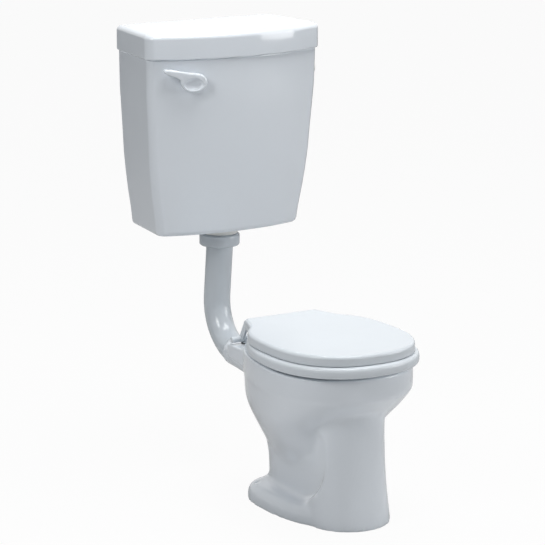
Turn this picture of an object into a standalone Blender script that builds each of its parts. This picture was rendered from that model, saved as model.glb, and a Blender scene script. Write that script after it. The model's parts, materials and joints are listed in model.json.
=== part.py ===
"""A children's toilet with a low-level cistern.

The origin is on the floor, on the plane of symmetry, under the back wall of the pan's foot. +Z is up, +Y
points to the wall that the cistern hangs on, and -Y is the front of the pan. All sizes are in metres.
"""

import math

import bmesh
import bpy
from mathutils import Matrix, Vector

# Places that the whole toilet follows
WALL_Y = 0.364
PAN_HEIGHT = 0.300
CISTERN_BOTTOM = 0.4785
OUTLET_Y = 0.260

# Clearances
FIT_GAP = 0.0003
RUNNING_GAP = 0.0004
OVERRUN = 0.002
WELD = 0.00001

# Pan: the china body
PAN_FRONT = 0.326
PAN_BACK = 0.062
PAN_HALF_WIDTH = 0.141
CHINA = 0.010
RIM_WIDTH = 0.038
RIM_DEPTH = 0.038
RIM_LIP = 0.008
RIM_ROOF = 0.010
RIM_EDGE = 0.006
RIM_OUTER_WALL = 0.013
OPENING_BACK = 0.033

# Each row: height share, front share, back share, widest share and half width share. The front, the back and
# the widest place are measured along the pan from its back.
BODY_SHARES = (
    (1.000, 0.994, 0.006, 0.619, 0.982),
    (0.985, 1.000, 0.000, 0.619, 1.000),
    (0.890, 1.000, 0.000, 0.619, 1.000),
    (0.850, 0.998, 0.005, 0.619, 0.988),
    (0.800, 0.962, 0.003, 0.606, 0.963),
    (0.760, 0.928, -0.005, 0.593, 0.946),
    (0.700, 0.876, -0.005, 0.567, 0.920),
    (0.640, 0.815, 0.013, 0.541, 0.868),
    (0.555, 0.773, 0.039, 0.515, 0.762),
    (0.463, 0.773, 0.072, 0.490, 0.645),
    (0.387, 0.773, 0.103, 0.464, 0.565),
    (0.313, 0.773, 0.124, 0.464, 0.522),
    (0.240, 0.773, 0.129, 0.464, 0.507),
    (0.000, 0.773, 0.142, 0.464, 0.520),
)
# Each row: height share, front share, back share, widest share and half width share, measured in the same way
# along the bowl's opening
BOWL_SHARES = (
    (0.873, 1.019, -0.058, 0.514, 1.157),
    (0.790, 0.961, -0.039, 0.514, 1.118),
    (0.733, 0.875, 0.000, 0.514, 1.040),
    (0.667, 0.817, 0.100, 0.514, 0.960),
    (0.567, 0.790, 0.220, 0.530, 0.804),
    (0.467, 0.770, 0.330, 0.560, 0.608),
    (0.367, 0.740, 0.410, 0.575, 0.431),
    (0.283, 0.700, 0.450, 0.580, 0.294),
    (0.250, 0.660, 0.480, 0.575, 0.176),
)
PAN_FRONT_POWER = 2.3
PAN_BACK_POWER = 2.0

# Pan: the front column and the foot
COLUMN_Y = 0.228
COLUMN_RADIUS = 0.0758
# Each row: height share of the pan, place share of COLUMN_Y, radius share of COLUMN_RADIUS
COLUMN_SHARES = (
    (0.000, 1.013, 1.090),
    (0.223, 1.000, 0.990),
    (0.417, 0.978, 0.986),
    (0.610, 0.956, 1.000),
    (0.717, 0.934, 1.040),
    (0.800, 0.890, 1.080),
)
FOOT_HEIGHT = 0.035
FOOT_HALF_WIDTH = 0.1075
FOOT_BACK = 0.007
FOOT_FRONT = 0.283
FOOT_WIDEST = 0.118
FOOT_ROUND = 0.019
FOOT_WALL = 0.014
FOOT_FRONT_POWER = 2.2
FOOT_BACK_POWER = 4.5
SCREW_X = 0.085
SCREW_Y = -0.036
SCREW_HOLE_RADIUS = 0.004
SCREW_BOSS_RADIUS = 0.0104
HOLLOW_TOP = 0.165

# Pan: the trap, as places on the plane of symmetry, along the pan's length and height
TRAP_RADIUS = 0.020
TRAP_WALL = 0.008
TRAP_SPAN = 0.190
# Each row: place share of TRAP_SPAN in front of the origin, height share of PAN_HEIGHT and bend share of
# TRAP_BEND
TRAP_BEND = 0.032
TRAP_SHARES = (
    (1.000, 0.373, 0.0),
    (0.711, 0.277, 1.4),
    (-0.011, 0.737, 1.0),
    (-0.011, 0.415, 1.4),
    (0.116, 0.110, 1.3),
    (0.116, -0.020, 0.0),
)

# Pan: the deck and the horn
DECK_DROP = 0.0065
DECK_THICKNESS = 0.012
DECK_BACK = 0.069
DECK_FRONT = -0.012
DECK_HALF_WIDTH = 0.080
DECK_CORNER = 0.010
HORN_DROP = 0.0793
HORN_RISE_DEG = 5.0
HORN_TIP_Y = 0.198
HORN_TIP_RADIUS = 0.0295
HORN_NECK_Y = 0.160
HORN_NECK_RADIUS = 0.0285
HORN_ROOT_Y = 0.045
HORN_ROOT_RADIUS = 0.034
HORN_BORE = 0.0145
HORN_CUP_RADIUS = 0.0258
HORN_CUP_DEPTH = 0.022

# Flush pipe
PIPE_RADIUS = 0.027
PIPE_WALL = 0.0025
PIPE_END_Y = 0.178
PIPE_SPIGOT_RADIUS = 0.0225
PIPE_LEAN = 0.0196
PIPE_BEND = 0.0908
PIPE_TOP_BEND = 0.060
PIPE_STRAIGHT = 0.030
CONE_LENGTH = 0.018

# Seat, lid and hinge
HINGE_Y = 0.037
HINGE_HEIGHT = 0.0095
HINGE_X = 0.0668
ROD_RADIUS = 0.0035
POST_RADIUS = 0.0065
POST_WIDTH = 0.012
POST_BASE_RADIUS = 0.0095
WASHER_THICKNESS = 0.0012
BOLT_RADIUS = 0.004
BOLT_HOLE_RADIUS = 0.0055
BOLT_LENGTH = 0.040
WING_NUT_RADIUS = 0.0085
WING_NUT_HEIGHT = 0.010
WING_SPAN = 0.016
LUG_GAP = 0.0006
SEAT_LUG_WIDTH = 0.014
LID_LUG_WIDTH = 0.006
SEAT_LIFT = 0.0050
SEAT_THICKNESS = 0.0225
SEAT_FRONT = 0.343
SEAT_HALF_WIDTH = 0.149
SEAT_BACK = 0.024
SEAT_NOSE = 0.047
SEAT_SIDE = 0.052
SEAT_EDGE = 0.008
LID_THICKNESS = 0.019
LID_FRONT = 0.333
LID_HALF_WIDTH = 0.1405
LID_TAB_HALF_WIDTH = 0.080
LID_TAB_Y = 0.022
LID_EDGE = 0.006
LID_WALL = 0.0035
LID_POINTS = 54
SEAT_WIDEST = 0.178
SEAT_POWER = 2.36
BUFFER_RADIUS = 0.009
BUFFER_PIN_RADIUS = 0.003
BUFFER_PIN_LENGTH = 0.005
SEAT_BUFFER_PLACES = ((0.090, -0.055), (0.076, -0.268))
LID_BUFFER_X = 0.070
LID_BUFFER_Y = -0.286
LID_BOSS = 0.008
LID_LIFT = 0.0010
LID_SHOULDER_Y = -0.012
LUG_RADIUS = 0.0061
LUG_ARC_DEG = (-120.0, 75.0)

# Cistern, with its own sizes measured from the wall and from its bottom
TANK_HEIGHT = 0.355
TANK_HALF_BACK = 0.1710
TANK_HALF_FRONT = 0.1910
TANK_SIDE_DEPTH = 0.163
TANK_BOW = 0.045
TANK_BACK_ROUND = 0.005
TANK_FRONT_ROUND = 0.018
TANK_WALL = 0.0085
TANK_FLOOR = 0.011
TANK_LIP_ROUND = 0.003
# Each row: height share of the tank, width share, depth share, bow share
TANK_SHARES = (
    (0.000, 0.815, 0.875, 0.59),
    (0.008, 0.835, 0.887, 0.60),
    (0.025, 0.845, 0.893, 0.61),
    (0.090, 0.860, 0.900, 0.64),
    (0.205, 0.898, 0.918, 0.70),
    (0.308, 0.925, 0.935, 0.75),
    (0.424, 0.949, 0.950, 0.81),
    (0.540, 0.961, 0.962, 0.86),
    (0.668, 0.977, 0.977, 0.92),
    (0.795, 0.994, 0.990, 0.97),
    (0.992, 1.000, 1.000, 1.00),
    (1.000, 0.992, 0.992, 0.99),
)
LID_OVERHANG = 0.0048
CISTERN_LID_HEIGHT = 0.049
CISTERN_LID_ROUND = 0.010
CISTERN_LID_BEARING = 0.0163
CISTERN_LID_RIB = 0.006
CISTERN_LID_RIB_DEPTH = 0.008
CISTERN_LID_ROOF = 0.010
WALL_HOLE_X = 0.105
WALL_HOLE_DROP = 0.055
WALL_HOLE_RADIUS = 0.005
TANK_BOW_POINTS = 12
TANK_FLOOR_SHARE = 0.97

# Flush valve: a siphon lifted by the lever
SIPHON_TAIL_RADIUS = 0.0200
SIPHON_WALL = 0.0028
SIPHON_TAIL_LENGTH = 0.036
SIPHON_FLANGE_RADIUS = 0.034
SIPHON_FLANGE_THICKNESS = 0.006
SEALING_WASHER = 0.003
SIPHON_HEAD_HEIGHT = 0.160
SIPHON_HEAD_TOP = 0.220
SIPHON_HEAD_ROUND = 0.014
CHAMBER_X = 0.056
CHAMBER_RADIUS = 0.038
CHAMBER_FOOT = 0.026
CHAMBER_TOP = 0.175
PISTON_HEIGHT = 0.040
PISTON_THICKNESS = 0.003
PISTON_HOLE_RADIUS = 0.005
PISTON_HOLES = 6
PISTON_HOLE_SHARE = 0.55
DIAPHRAGM_THICKNESS = 0.001
DIAPHRAGM_RADIUS = 0.031
LIFT_ROD_X = 0.079
LIFT_ROD_RADIUS = 0.003
LIFT_EYE_WIDTH = 0.020
LIFT_EYE_THICKNESS = 0.005
LIFT_EYE_BAR = 0.004
LIFT_EYE_SLACK = 0.0035
OUTLET_HOLE_CLEARANCE = 0.0012
BACKNUT_RADIUS = 0.0365
BACKNUT_HEIGHT = 0.0135
COUPLING_RADIUS = 0.0405
COUPLING_HEIGHT = 0.022
COUPLING_SLOPE = 0.0012
COUPLING_GROOVE = 0.003
PIPE_COLLAR = 0.0035

# Flush lever
LEVER_X = 0.1106
LEVER_DROP = 0.046
LEVER_STAND = 0.0010
LEVER_DEPTH = 0.015
LEVER_REACH = 0.055
LEVER_TILT_DEG = 6.0
LEVER_EDGE = 0.0028
LEVER_DISH_DEPTH = 0.007
LEVER_DISH_WIDTH = 0.020
LEVER_DISH_HEIGHT = 0.0125
# Each pair: the place along and up the wall, as shares of LEVER_REACH, anticlockwise from the right
LEVER_SHARES = (
    (0.49, 0.02),
    (0.42, 0.24),
    (0.20, 0.36),
    (-0.10, 0.40),
    (-0.45, 0.46),
    (-0.80, 0.53),
    (-1.00, 0.54),
    (-1.05, 0.46),
    (-0.96, 0.37),
    (-0.70, 0.27),
    (-0.48, 0.15),
    (-0.43, -0.02),
    (-0.32, -0.19),
    (-0.10, -0.29),
    (0.15, -0.29),
    (0.38, -0.18),
)
# Each pair: the width share of the dish and its depth share
LEVER_DISH_SHARES = ((1.06, -0.4), (1.0, 0.0), (0.93, 0.45), (0.75, 0.8), (0.4, 1.0))
SPINDLE_RADIUS = 0.005
FACING_DEPTH = 0.0012
ARM_STRAIGHT = 0.025
BUSH_RADIUS = 0.0085
BUSH_WALL_CLEARANCE = 0.0010
BUSH_FLANGE = 0.0125
BUSH_FLANGE_THICKNESS = 0.0025
LEVER_NUT_RADIUS = 0.0150
LEVER_NUT_HEIGHT = 0.007
ARM_HUB_RADIUS = 0.009
ARM_HUB_LENGTH = 0.012
ARM_RADIUS = 0.003
ARM_PAST_EYE = 0.012
SET_SCREW_RADIUS = 0.0022
SET_SCREW_HEAD = 0.004

# Float valve
VALVE_Y = 0.255
VALVE_DROP = 0.050
VALVE_SHANK_RADIUS = 0.0100
VALVE_SHANK_OUT = 0.030
VALVE_BORE = 0.0040
VALVE_BODY_RADIUS = 0.013
VALVE_BODY_LENGTH = 0.0537
VALVE_FLANGE_RADIUS = 0.0165
VALVE_FLANGE = 0.004
VALVE_HOLE_CLEARANCE = 0.0010
VALVE_WASHER = 0.002
VALVE_NOZZLE = 0.0015
VALVE_NUT_RADIUS = 0.0165
VALVE_NUT_HEIGHT = 0.008
PLUNGER_RADIUS = 0.0060
PLUNGER_NOSE = 0.0020
PLUNGER_LENGTH = 0.016
PLUNGER_TRAVEL = 0.0030
YOKE_LENGTH = 0.016
YOKE_THICKNESS = 0.003
YOKE_GAP = 0.010
YOKE_FOOT = 0.006
PIVOT_DROP = 0.010
PIVOT_BACK = 0.011
PIVOT_PIN_RADIUS = 0.0016
FINGER_WIDTH = 0.006
FINGER_THICKNESS = 0.005
FLOAT_HUB_RADIUS = 0.0045
FLOAT_ARM_RADIUS = 0.0025
FLOAT_ARM_Y = 0.200
FLOAT_BEND_BACK = 0.019
FLOAT_DIP_SHARE = 0.3
FLOAT_RADIUS = 0.032
FLOAT_X = 0.085
FLOAT_Y = 0.226
FLOAT_DROP = 0.012
FLOAT_BEND = 0.008
FLOAT_NEAR_X = 0.040
FLOAT_SOCKET = 0.012
FLOAT_STEPS = 10
FILL_TUBE_RADIUS = 0.0055
FILL_TUBE_WALL = 0.0014
FILL_TUBE_Y = 0.022
FILL_TUBE_BOTTOM = 0.035

# How finely the round forms are cut
OUTLINE_POINTS = 36
TURN_STEPS = 16
SMALL_STEPS = 10
NUT_SIDES = 6
FINE_STEPS = 24
TUBE_SIDES = 6
TRAP_SIDES = 8
PIPE_SIDES = 16
ARC_STEPS = 4
BEVEL_ANGLE_DEG = 35.0
SHARP_ANGLE_DEG = 38.0

# Each finish: its colour, its roughness and how metallic it is
COLOURS = {
    "china": ((0.86, 0.88, 0.90), 0.08, 0.0),
    "seat_plastic": ((0.88, 0.90, 0.92), 0.22, 0.0),
    "pipe_plastic": ((0.74, 0.77, 0.80), 0.30, 0.0),
    "lever_plastic": ((0.86, 0.88, 0.90), 0.16, 0.0),
    "fitting_plastic": ((0.90, 0.90, 0.88), 0.38, 0.0),
    "float_plastic": ((0.12, 0.16, 0.22), 0.45, 0.0),
    "rubber": ((0.05, 0.05, 0.055), 0.75, 0.0),
    "brass": ((0.78, 0.60, 0.30), 0.30, 1.0),
    "steel": ((0.72, 0.73, 0.74), 0.28, 1.0),
}


def start_scene():
    """Empties the scene and makes the two collections."""
    for old in list(bpy.data.objects):
        bpy.data.objects.remove(old, do_unlink=True)
    made = []
    for name in ("childrens_toilet", "cutters"):
        group = bpy.data.collections.new(name)
        bpy.context.scene.collection.children.link(group)
        made.append(group)
    return made


PARTS, CUTTERS = start_scene()


def material(name):
    """One Principled material for each finish."""
    found = bpy.data.materials.get(name)
    if found:
        return found
    colour, roughness, metallic = COLOURS[name]
    made = bpy.data.materials.new(name)
    made.use_nodes = True
    shader = made.node_tree.nodes["Principled BSDF"]
    shader.inputs["Base Color"].default_value = (*colour, 1.0)
    shader.inputs["Roughness"].default_value = roughness
    shader.inputs["Metallic"].default_value = metallic
    made.diffuse_color = (*colour, 1.0)
    return made


def pivot(name, at):
    """An empty on a joint's axis, which carries the pieces that move together."""
    empty = bpy.data.objects.new(name, None)
    empty.location = at
    empty.empty_display_size = POST_RADIUS
    PARTS.objects.link(empty)
    return empty


def piece(name, mesh, finish, at=(0, 0, 0), parent=None):
    """A named part of the toilet, with its origin at a point of the room."""
    made = bpy.data.objects.new(name, mesh)
    mesh.materials.append(material(finish))
    made.location = at
    PARTS.objects.link(made)
    if parent:
        attach(made, parent)
    return made


def home(carrier):
    """Where a carrier stands in the room. No carrier is turned or scaled."""
    total = Vector((0, 0, 0))
    while carrier:
        total += carrier.location
        carrier = carrier.parent
    return total


def attach(made, carrier):
    """Parents a piece or a helper to a carrier, and leaves it where it stands."""
    made.location = made.location - home(carrier)
    made.parent = carrier


def helper(name, mesh, at=(0, 0, 0)):
    """A solid that only cuts or builds another one."""
    made = bpy.data.objects.new(name, mesh)
    made.location = at
    made.hide_render = True
    made.display_type = "WIRE"
    CUTTERS.objects.link(made)
    return made


def boolean(target, other, operation, solver):
    """Adds one Boolean step, and lets its helper ride on what the target rides on."""
    step = target.modifiers.new(operation.lower() + "_" + other.name, "BOOLEAN")
    step.operation = operation
    step.solver = solver
    step.object = other
    if target.parent and not other.parent:
        attach(other, target.parent)


def cut(target, *others, solver="EXACT"):
    """Takes helpers away from a piece."""
    for other in others:
        boolean(target, other, "DIFFERENCE", solver)


def join(target, *others, solver="EXACT"):
    """Makes helpers one with a piece."""
    for other in others:
        boolean(target, other, "UNION", solver)


def bevel(target, width, segments=2):
    """Rounds the sharp edges of a piece."""
    step = target.modifiers.new("rounded_edges", "BEVEL")
    step.width = width
    step.segments = segments
    step.limit_method = "ANGLE"
    step.angle_limit = math.radians(BEVEL_ANGLE_DEG)
    step.use_clamp_overlap = True
    return step


def closed_mesh(name, shape, smooth=True):
    """Turns a bmesh into a mesh whose faces point out."""
    bmesh.ops.recalc_face_normals(shape, faces=shape.faces)
    mesh = bpy.data.meshes.new(name)
    shape.to_mesh(mesh)
    shape.free()
    if smooth:
        mesh.shade_smooth()
        mesh.set_sharp_from_angle(angle=math.radians(SHARP_ANGLE_DEG))
    return mesh


def bridge(shape, first, second):
    """Closes the band between two loops of one count."""
    count = len(first)
    for i in range(count):
        j = (i + 1) % count
        shape.faces.new((first[i], first[j], second[j], second[i]))


def loft(name, rings, smooth=True):
    """A closed solid through outlines of one count, with flat ends."""
    shape = bmesh.new()
    loops = [[shape.verts.new(point) for point in ring] for ring in rings]
    for first, second in zip(loops, loops[1:]):
        bridge(shape, first, second)
    shape.faces.new(loops[0])
    shape.faces.new(loops[-1])
    return closed_mesh(name, shape, smooth)


def ring_loft(name, rings):
    """A closed ring through outlines that come back to the first one."""
    shape = bmesh.new()
    loops = [[shape.verts.new(point) for point in ring] for ring in rings]
    for first, second in zip(loops, loops[1:] + loops[:1]):
        bridge(shape, first, second)
    return closed_mesh(name, shape)


def egg(half_width, front, back, widest, front_power, back_power, height, count=OUTLINE_POINTS):
    """An egg-shaped outline at one height. front, back and widest are places along Y."""
    points = []
    for i in range(count):
        turn = math.tau * (i + 0.5) / count
        across, along = math.cos(turn), math.sin(turn)
        power = back_power if along > 0 else front_power
        reach = back - widest if along > 0 else widest - front
        x = math.copysign(abs(across) ** (2 / power), across) * half_width
        y = widest + math.copysign(abs(along) ** (2 / power), along) * reach
        points.append(Vector((x, y, height)))
    return points


def circle(radius, centre, count=TURN_STEPS):
    """A level circle."""
    turns = (math.tau * (i + 0.5) / count for i in range(count))
    return [Vector(centre) + Vector((radius * math.cos(t), radius * math.sin(t), 0)) for t in turns]


def rounded_corners(corners, steps=ARC_STEPS, quarter_steps=0):
    """An outline or a route with an arc at each corner, given as (point, radius).

    Each arc has the given steps, or with quarter_steps, as many as its share of a quarter turn needs.
    """
    points = []
    count = len(corners)
    for i, (corner, radius) in enumerate(corners):
        corner = Vector(corner)
        if not radius:
            points.append(corner)
            continue
        to_last = (Vector(corners[i - 1][0]) - corner).normalized()
        to_next = (Vector(corners[(i + 1) % count][0]) - corner).normalized()
        half = to_last.angle(to_next) / 2
        middle = (to_last + to_next).normalized()
        centre = corner + middle * (radius / math.sin(half))
        start = corner + to_last * (radius / math.tan(half)) - centre
        end = corner + to_next * (radius / math.tan(half)) - centre
        sweep = start.angle(end)
        pieces = math.ceil(quarter_steps * sweep * 2 / math.pi) if quarter_steps else steps
        for k in range(pieces + 1):
            share = k / pieces
            turned = start * math.sin((1 - share) * sweep) + end * math.sin(share * sweep)
            points.append(centre + turned / math.sin(sweep))
    return points


def tube(name, points, radius, sides=TUBE_SIDES):
    """The mesh of a tube with filled ends along a route.

    A curve's bevel has four sides, and two more for each step of its resolution.
    """
    curve = bpy.data.curves.new(name, "CURVE")
    curve.dimensions = "3D"
    curve.bevel_depth = radius
    curve.bevel_resolution = sides // 2 - 2
    curve.use_fill_caps = True
    line = curve.splines.new("POLY")
    line.points.add(len(points) - 1)
    for slot, point in zip(line.points, points):
        slot.co = (*point, 1.0)
    guide = bpy.data.objects.new(name, curve)
    CUTTERS.objects.link(guide)
    bpy.context.view_layer.update()
    seen = guide.evaluated_get(bpy.context.evaluated_depsgraph_get())
    mesh = bpy.data.meshes.new_from_object(seen)
    bpy.data.objects.remove(guide, do_unlink=True)
    shape = bmesh.new()
    shape.from_mesh(mesh)
    bmesh.ops.remove_doubles(shape, verts=shape.verts, dist=WELD)
    bpy.data.meshes.remove(mesh)
    return closed_mesh(name, shape)


def turned_mesh(name, profile):
    """The cage of a turned shape: a line of (radius, height) points, on the XZ plane."""
    shape = bmesh.new()
    points = [shape.verts.new((radius, 0, height)) for radius, height in profile]
    for first, second in zip(points, points[1:]):
        shape.edges.new((first, second))
    if profile[0][0] > 0:
        shape.edges.new((points[-1], points[0]))
    mesh = bpy.data.meshes.new(name)
    shape.to_mesh(mesh)
    shape.free()
    return mesh


def turn(made, steps=TURN_STEPS):
    """Turns a profile round its own Z axis."""
    step = made.modifiers.new("turned", "SCREW")
    step.steps = steps
    step.render_steps = steps
    step.use_merge_vertices = True
    step.merge_threshold = WELD
    step.use_smooth_shade = True
    return made


def ring_profile(outer, inner, bottom, top, edge=0):
    """The section of a washer, nut or sleeve, down its outer side and up its bore."""
    if not edge:
        return [(outer, top), (outer, bottom), (inner, bottom), (inner, top)]
    return [
        (outer - edge, top),
        (outer, top - edge),
        (outer, bottom + edge),
        (outer - edge, bottom),
        (inner, bottom),
        (inner, top),
    ]


def aim(made, direction):
    """Points a piece's own Z axis along a direction."""
    made.rotation_euler = Vector(direction).to_track_quat("Z", "Y").to_euler()
    return made


def turned_piece(name, profile, finish, at, direction=(0, 0, 1), parent=None, steps=TURN_STEPS):
    """A named part turned from a profile, with its axis along a direction."""
    return aim(turn(piece(name, turned_mesh(name, profile), finish, at, parent), steps), direction)


def turned_helper(name, profile, at, direction=(0, 0, 1), steps=TURN_STEPS):
    """A helper turned from a profile, with its axis along a direction."""
    return aim(turn(helper(name, turned_mesh(name, profile), at), steps), direction)


def rod_profile(radius, bottom, top, edge=0):
    """The section of a solid pin, from the middle of its top to the middle of its bottom."""
    if not edge:
        return [(0, top), (radius, top), (radius, bottom), (0, bottom)]
    return [
        (0, top),
        (radius - edge, top),
        (radius, top - edge),
        (radius, bottom + edge),
        (radius - edge, bottom),
        (0, bottom),
    ]


def box_mesh(name, low, high):
    """A box between two corners."""
    low, high = Vector(low), Vector(high)
    shape = bmesh.new()
    bmesh.ops.create_cube(shape, size=1.0)
    size = high - low
    bmesh.ops.scale(shape, vec=size, verts=shape.verts)
    bmesh.ops.translate(shape, vec=(low + high) / 2, verts=shape.verts)
    return closed_mesh(name, shape, smooth=False)


def plate(name, outline, low, high):
    """A flat outline of (x, y) made into a level plate."""
    rings = [[Vector((point[0], point[1], height)) for point in outline] for height in (low, high)]
    return loft(name, rings)


# Pan


def pan_length():
    """The pan's length over its rim."""
    return PAN_FRONT + PAN_BACK


def body_ring(row, inset=0.0, height=None):
    """One outline of the pan's outer body, or of a hollow inside it."""
    level, front, back, widest, width = row
    length = pan_length()
    return egg(
        PAN_HALF_WIDTH * width - inset,
        PAN_BACK - length * front + inset,
        PAN_BACK - length * back - inset,
        PAN_BACK - length * widest,
        PAN_FRONT_POWER,
        PAN_BACK_POWER,
        PAN_HEIGHT * level if height is None else height,
    )


def opening_sizes():
    """The bowl's opening: its front, back and half width."""
    return -(PAN_FRONT - RIM_WIDTH), -OPENING_BACK, PAN_HALF_WIDTH - RIM_WIDTH


def opening_ring(height, grow=0.0):
    """The outline of the bowl's opening at one height."""
    front, back, half_width = opening_sizes()
    widest = PAN_BACK - pan_length() * BODY_SHARES[0][3]
    return egg(half_width + grow, front - grow, back + grow, widest, PAN_FRONT_POWER, PAN_FRONT_POWER, height)


def bowl_ring(row, grow=0.0, drop=0.0):
    """One outline of the bowl's inside, or of the china round it."""
    level, front, back, widest, width = row
    start, end, half_width = opening_sizes()
    length = end - start
    return egg(
        half_width * width + grow,
        end - length * front - grow,
        end - length * back + grow,
        end - length * widest,
        PAN_FRONT_POWER,
        PAN_BACK_POWER,
        PAN_HEIGHT * level - drop,
    )


def bowl_cutter():
    """The space in the bowl, from above the opening down to the sump."""
    rim_bottom = PAN_HEIGHT - RIM_DEPTH
    rings = [
        opening_ring(PAN_HEIGHT + OVERRUN, RIM_EDGE),
        opening_ring(PAN_HEIGHT, RIM_EDGE),
        opening_ring(PAN_HEIGHT - RIM_EDGE / 3, RIM_EDGE / 3),
        opening_ring(PAN_HEIGHT - RIM_EDGE),
        opening_ring(rim_bottom + RIM_EDGE / 3),
        opening_ring(rim_bottom, RIM_EDGE / 3),
    ]
    rings += [bowl_ring(row) for row in BOWL_SHARES[1:]]
    return helper("bowl_space", loft("bowl_space", rings))


def rim_channel_cutter():
    """The flushing rim's channel, open downwards behind its lip."""
    top = PAN_HEIGHT - RIM_ROOF
    rings = [
        opening_ring(top, RIM_WIDTH - RIM_OUTER_WALL),
        bowl_ring(BOWL_SHARES[1], -OVERRUN),
        bowl_ring(BOWL_SHARES[1], -2 * OVERRUN),
        opening_ring(PAN_HEIGHT - RIM_DEPTH, RIM_LIP),
        opening_ring(top, RIM_LIP),
    ]
    return helper("rim_channel", ring_loft("rim_channel", rings))


def column_ring(row, inset=0.0):
    """One outline of the front column, or of the hollow inside it."""
    level, place_share, radius_share = row
    centre = (0, -COLUMN_Y * place_share, PAN_HEIGHT * level)
    return circle(COLUMN_RADIUS * radius_share - inset, centre, OUTLINE_POINTS)


def foot_ring(height, inset=0.0):
    """One outline of the foot, or of the hollow inside it."""
    return egg(
        FOOT_HALF_WIDTH - inset,
        -FOOT_FRONT + inset,
        FOOT_BACK - inset,
        -FOOT_WIDEST,
        FOOT_FRONT_POWER,
        FOOT_BACK_POWER,
        height,
    )


def foot_rings():
    """The foot's outline, rounded over at its top."""
    rings = [foot_ring(0)]
    for step in range(5):
        turn_share = step / 4 * math.pi / 2
        inset = FOOT_ROUND * (1 - math.cos(turn_share))
        height = FOOT_HEIGHT - FOOT_ROUND * (1 - math.sin(turn_share))
        rings.append(foot_ring(height, inset))
    return rings


def trap_route():
    """The middle of the trap: down from the bowl, up over the weir and down to the outlet."""
    corners = []
    for along, up, bend in TRAP_SHARES:
        corners.append(((0, -TRAP_SPAN * along, PAN_HEIGHT * up), TRAP_BEND * bend))
    return rounded_corners(corners, 0, ARC_STEPS)


def horn_direction():
    """The direction out of the horn's mouth."""
    return Vector((0, math.cos(math.radians(HORN_RISE_DEG)), math.sin(math.radians(HORN_RISE_DEG))))


def horn_point(y):
    """The point of the horn's axis at one place along Y."""
    root = Vector((0, HORN_ROOT_Y, PAN_HEIGHT - HORN_DROP))
    return root + horn_direction() * ((y - HORN_ROOT_Y) / horn_direction().y)


def horn_solid():
    """The horn at the back of the pan, whose mouth the flush pipe fits into."""
    along = horn_direction().y
    neck = (HORN_NECK_Y - HORN_ROOT_Y) / along
    tip = (HORN_TIP_Y - HORN_ROOT_Y) / along
    root = HORN_ROOT_RADIUS
    profile = [
        (0, tip),
        (HORN_TIP_RADIUS - RIM_EDGE / 3, tip),
        (HORN_TIP_RADIUS, tip - RIM_EDGE / 3),
        (HORN_NECK_RADIUS, neck),
        ((HORN_NECK_RADIUS + root) / 2 - RIM_EDGE / 2, neck / 2),
        (root, 0),
        (root, -root),
        (0, -root),
    ]
    return turned_helper("horn_body", profile, horn_point(HORN_ROOT_Y), horn_direction())


def horn_bore():
    """The way of the water from the horn up into the rim channel."""
    inner = Vector((0, -OPENING_BACK + RIM_LIP + HORN_BORE, PAN_HEIGHT - RIM_ROOF - HORN_BORE))
    start = horn_point(HORN_TIP_Y) + horn_direction() * OVERRUN
    bend = horn_point(HORN_ROOT_Y)
    low = Vector((0, inner.y, PAN_HEIGHT - RIM_DEPTH - HORN_BORE))
    route = rounded_corners([(start, 0), (bend, 2 * HORN_BORE), (low + (inner - low) / 2, 0)], 0, ARC_STEPS)
    return helper("horn_bore", tube("horn_bore", route, HORN_BORE))


def horn_cup():
    """The socket in the horn's mouth."""
    profile = rod_profile(HORN_CUP_RADIUS, -HORN_CUP_DEPTH, OVERRUN)
    return turned_helper("horn_cup", profile, horn_point(HORN_TIP_Y), horn_direction())


def deck_outline(y_front):
    """The deck's outline, with its two back corners rounded."""
    corners = [
        ((DECK_HALF_WIDTH, y_front, 0), 0),
        ((DECK_HALF_WIDTH, DECK_BACK, 0), DECK_CORNER),
        ((-DECK_HALF_WIDTH, DECK_BACK, 0), DECK_CORNER),
        ((-DECK_HALF_WIDTH, y_front, 0), 0),
    ]
    return rounded_corners(corners)


def deck_top():
    """The height of the deck's upper face."""
    return PAN_HEIGHT - DECK_DROP


def deck_bottom():
    """The height of the deck's lower face."""
    return deck_top() - DECK_THICKNESS


def hinge_bolt_places():
    """Where the two hinge bolts go through the deck: x and y."""
    return [(side * HINGE_X, HINGE_Y) for side in (-1, 1)]


def deck_helpers():
    """The ledge for the hinges, the step that lowers it, its holes and the room for the nuts under it."""
    slab = helper("deck_slab", plate("deck_slab", deck_outline(DECK_FRONT), deck_bottom(), deck_top()))
    bevel(slab, RIM_EDGE / 3)
    reach = PAN_HALF_WIDTH + OVERRUN
    low = (-reach, DECK_FRONT, deck_top())
    high = (reach, DECK_BACK + OVERRUN, PAN_HEIGHT + OVERRUN)
    step = helper("deck_step", box_mesh("deck_step", low, high))
    cutters = [step]
    pocket = WING_SPAN + RUNNING_GAP
    for index, (x, y) in enumerate(hinge_bolt_places()):
        at = (x, y, deck_bottom())
        room = rod_profile(pocket, -3 * WING_NUT_HEIGHT, 0)
        hole = rod_profile(BOLT_HOLE_RADIUS, -OVERRUN, DECK_THICKNESS + OVERRUN)
        cutters.append(turned_helper(f"nut_pocket_{index + 1}", room, at))
        cutters.append(turned_helper(f"bolt_hole_{index + 1}", hole, at))
    return slab, cutters


def screw_hole_cutters():
    """The holes for the two floor screws."""
    made = []
    for side in (-1, 1):
        profile = rod_profile(SCREW_HOLE_RADIUS, -OVERRUN, FOOT_HEIGHT + OVERRUN)
        made.append(turned_helper(f"floor_screw_hole_{side + 2}", profile, (side * SCREW_X, SCREW_Y, 0)))
    return made


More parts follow.
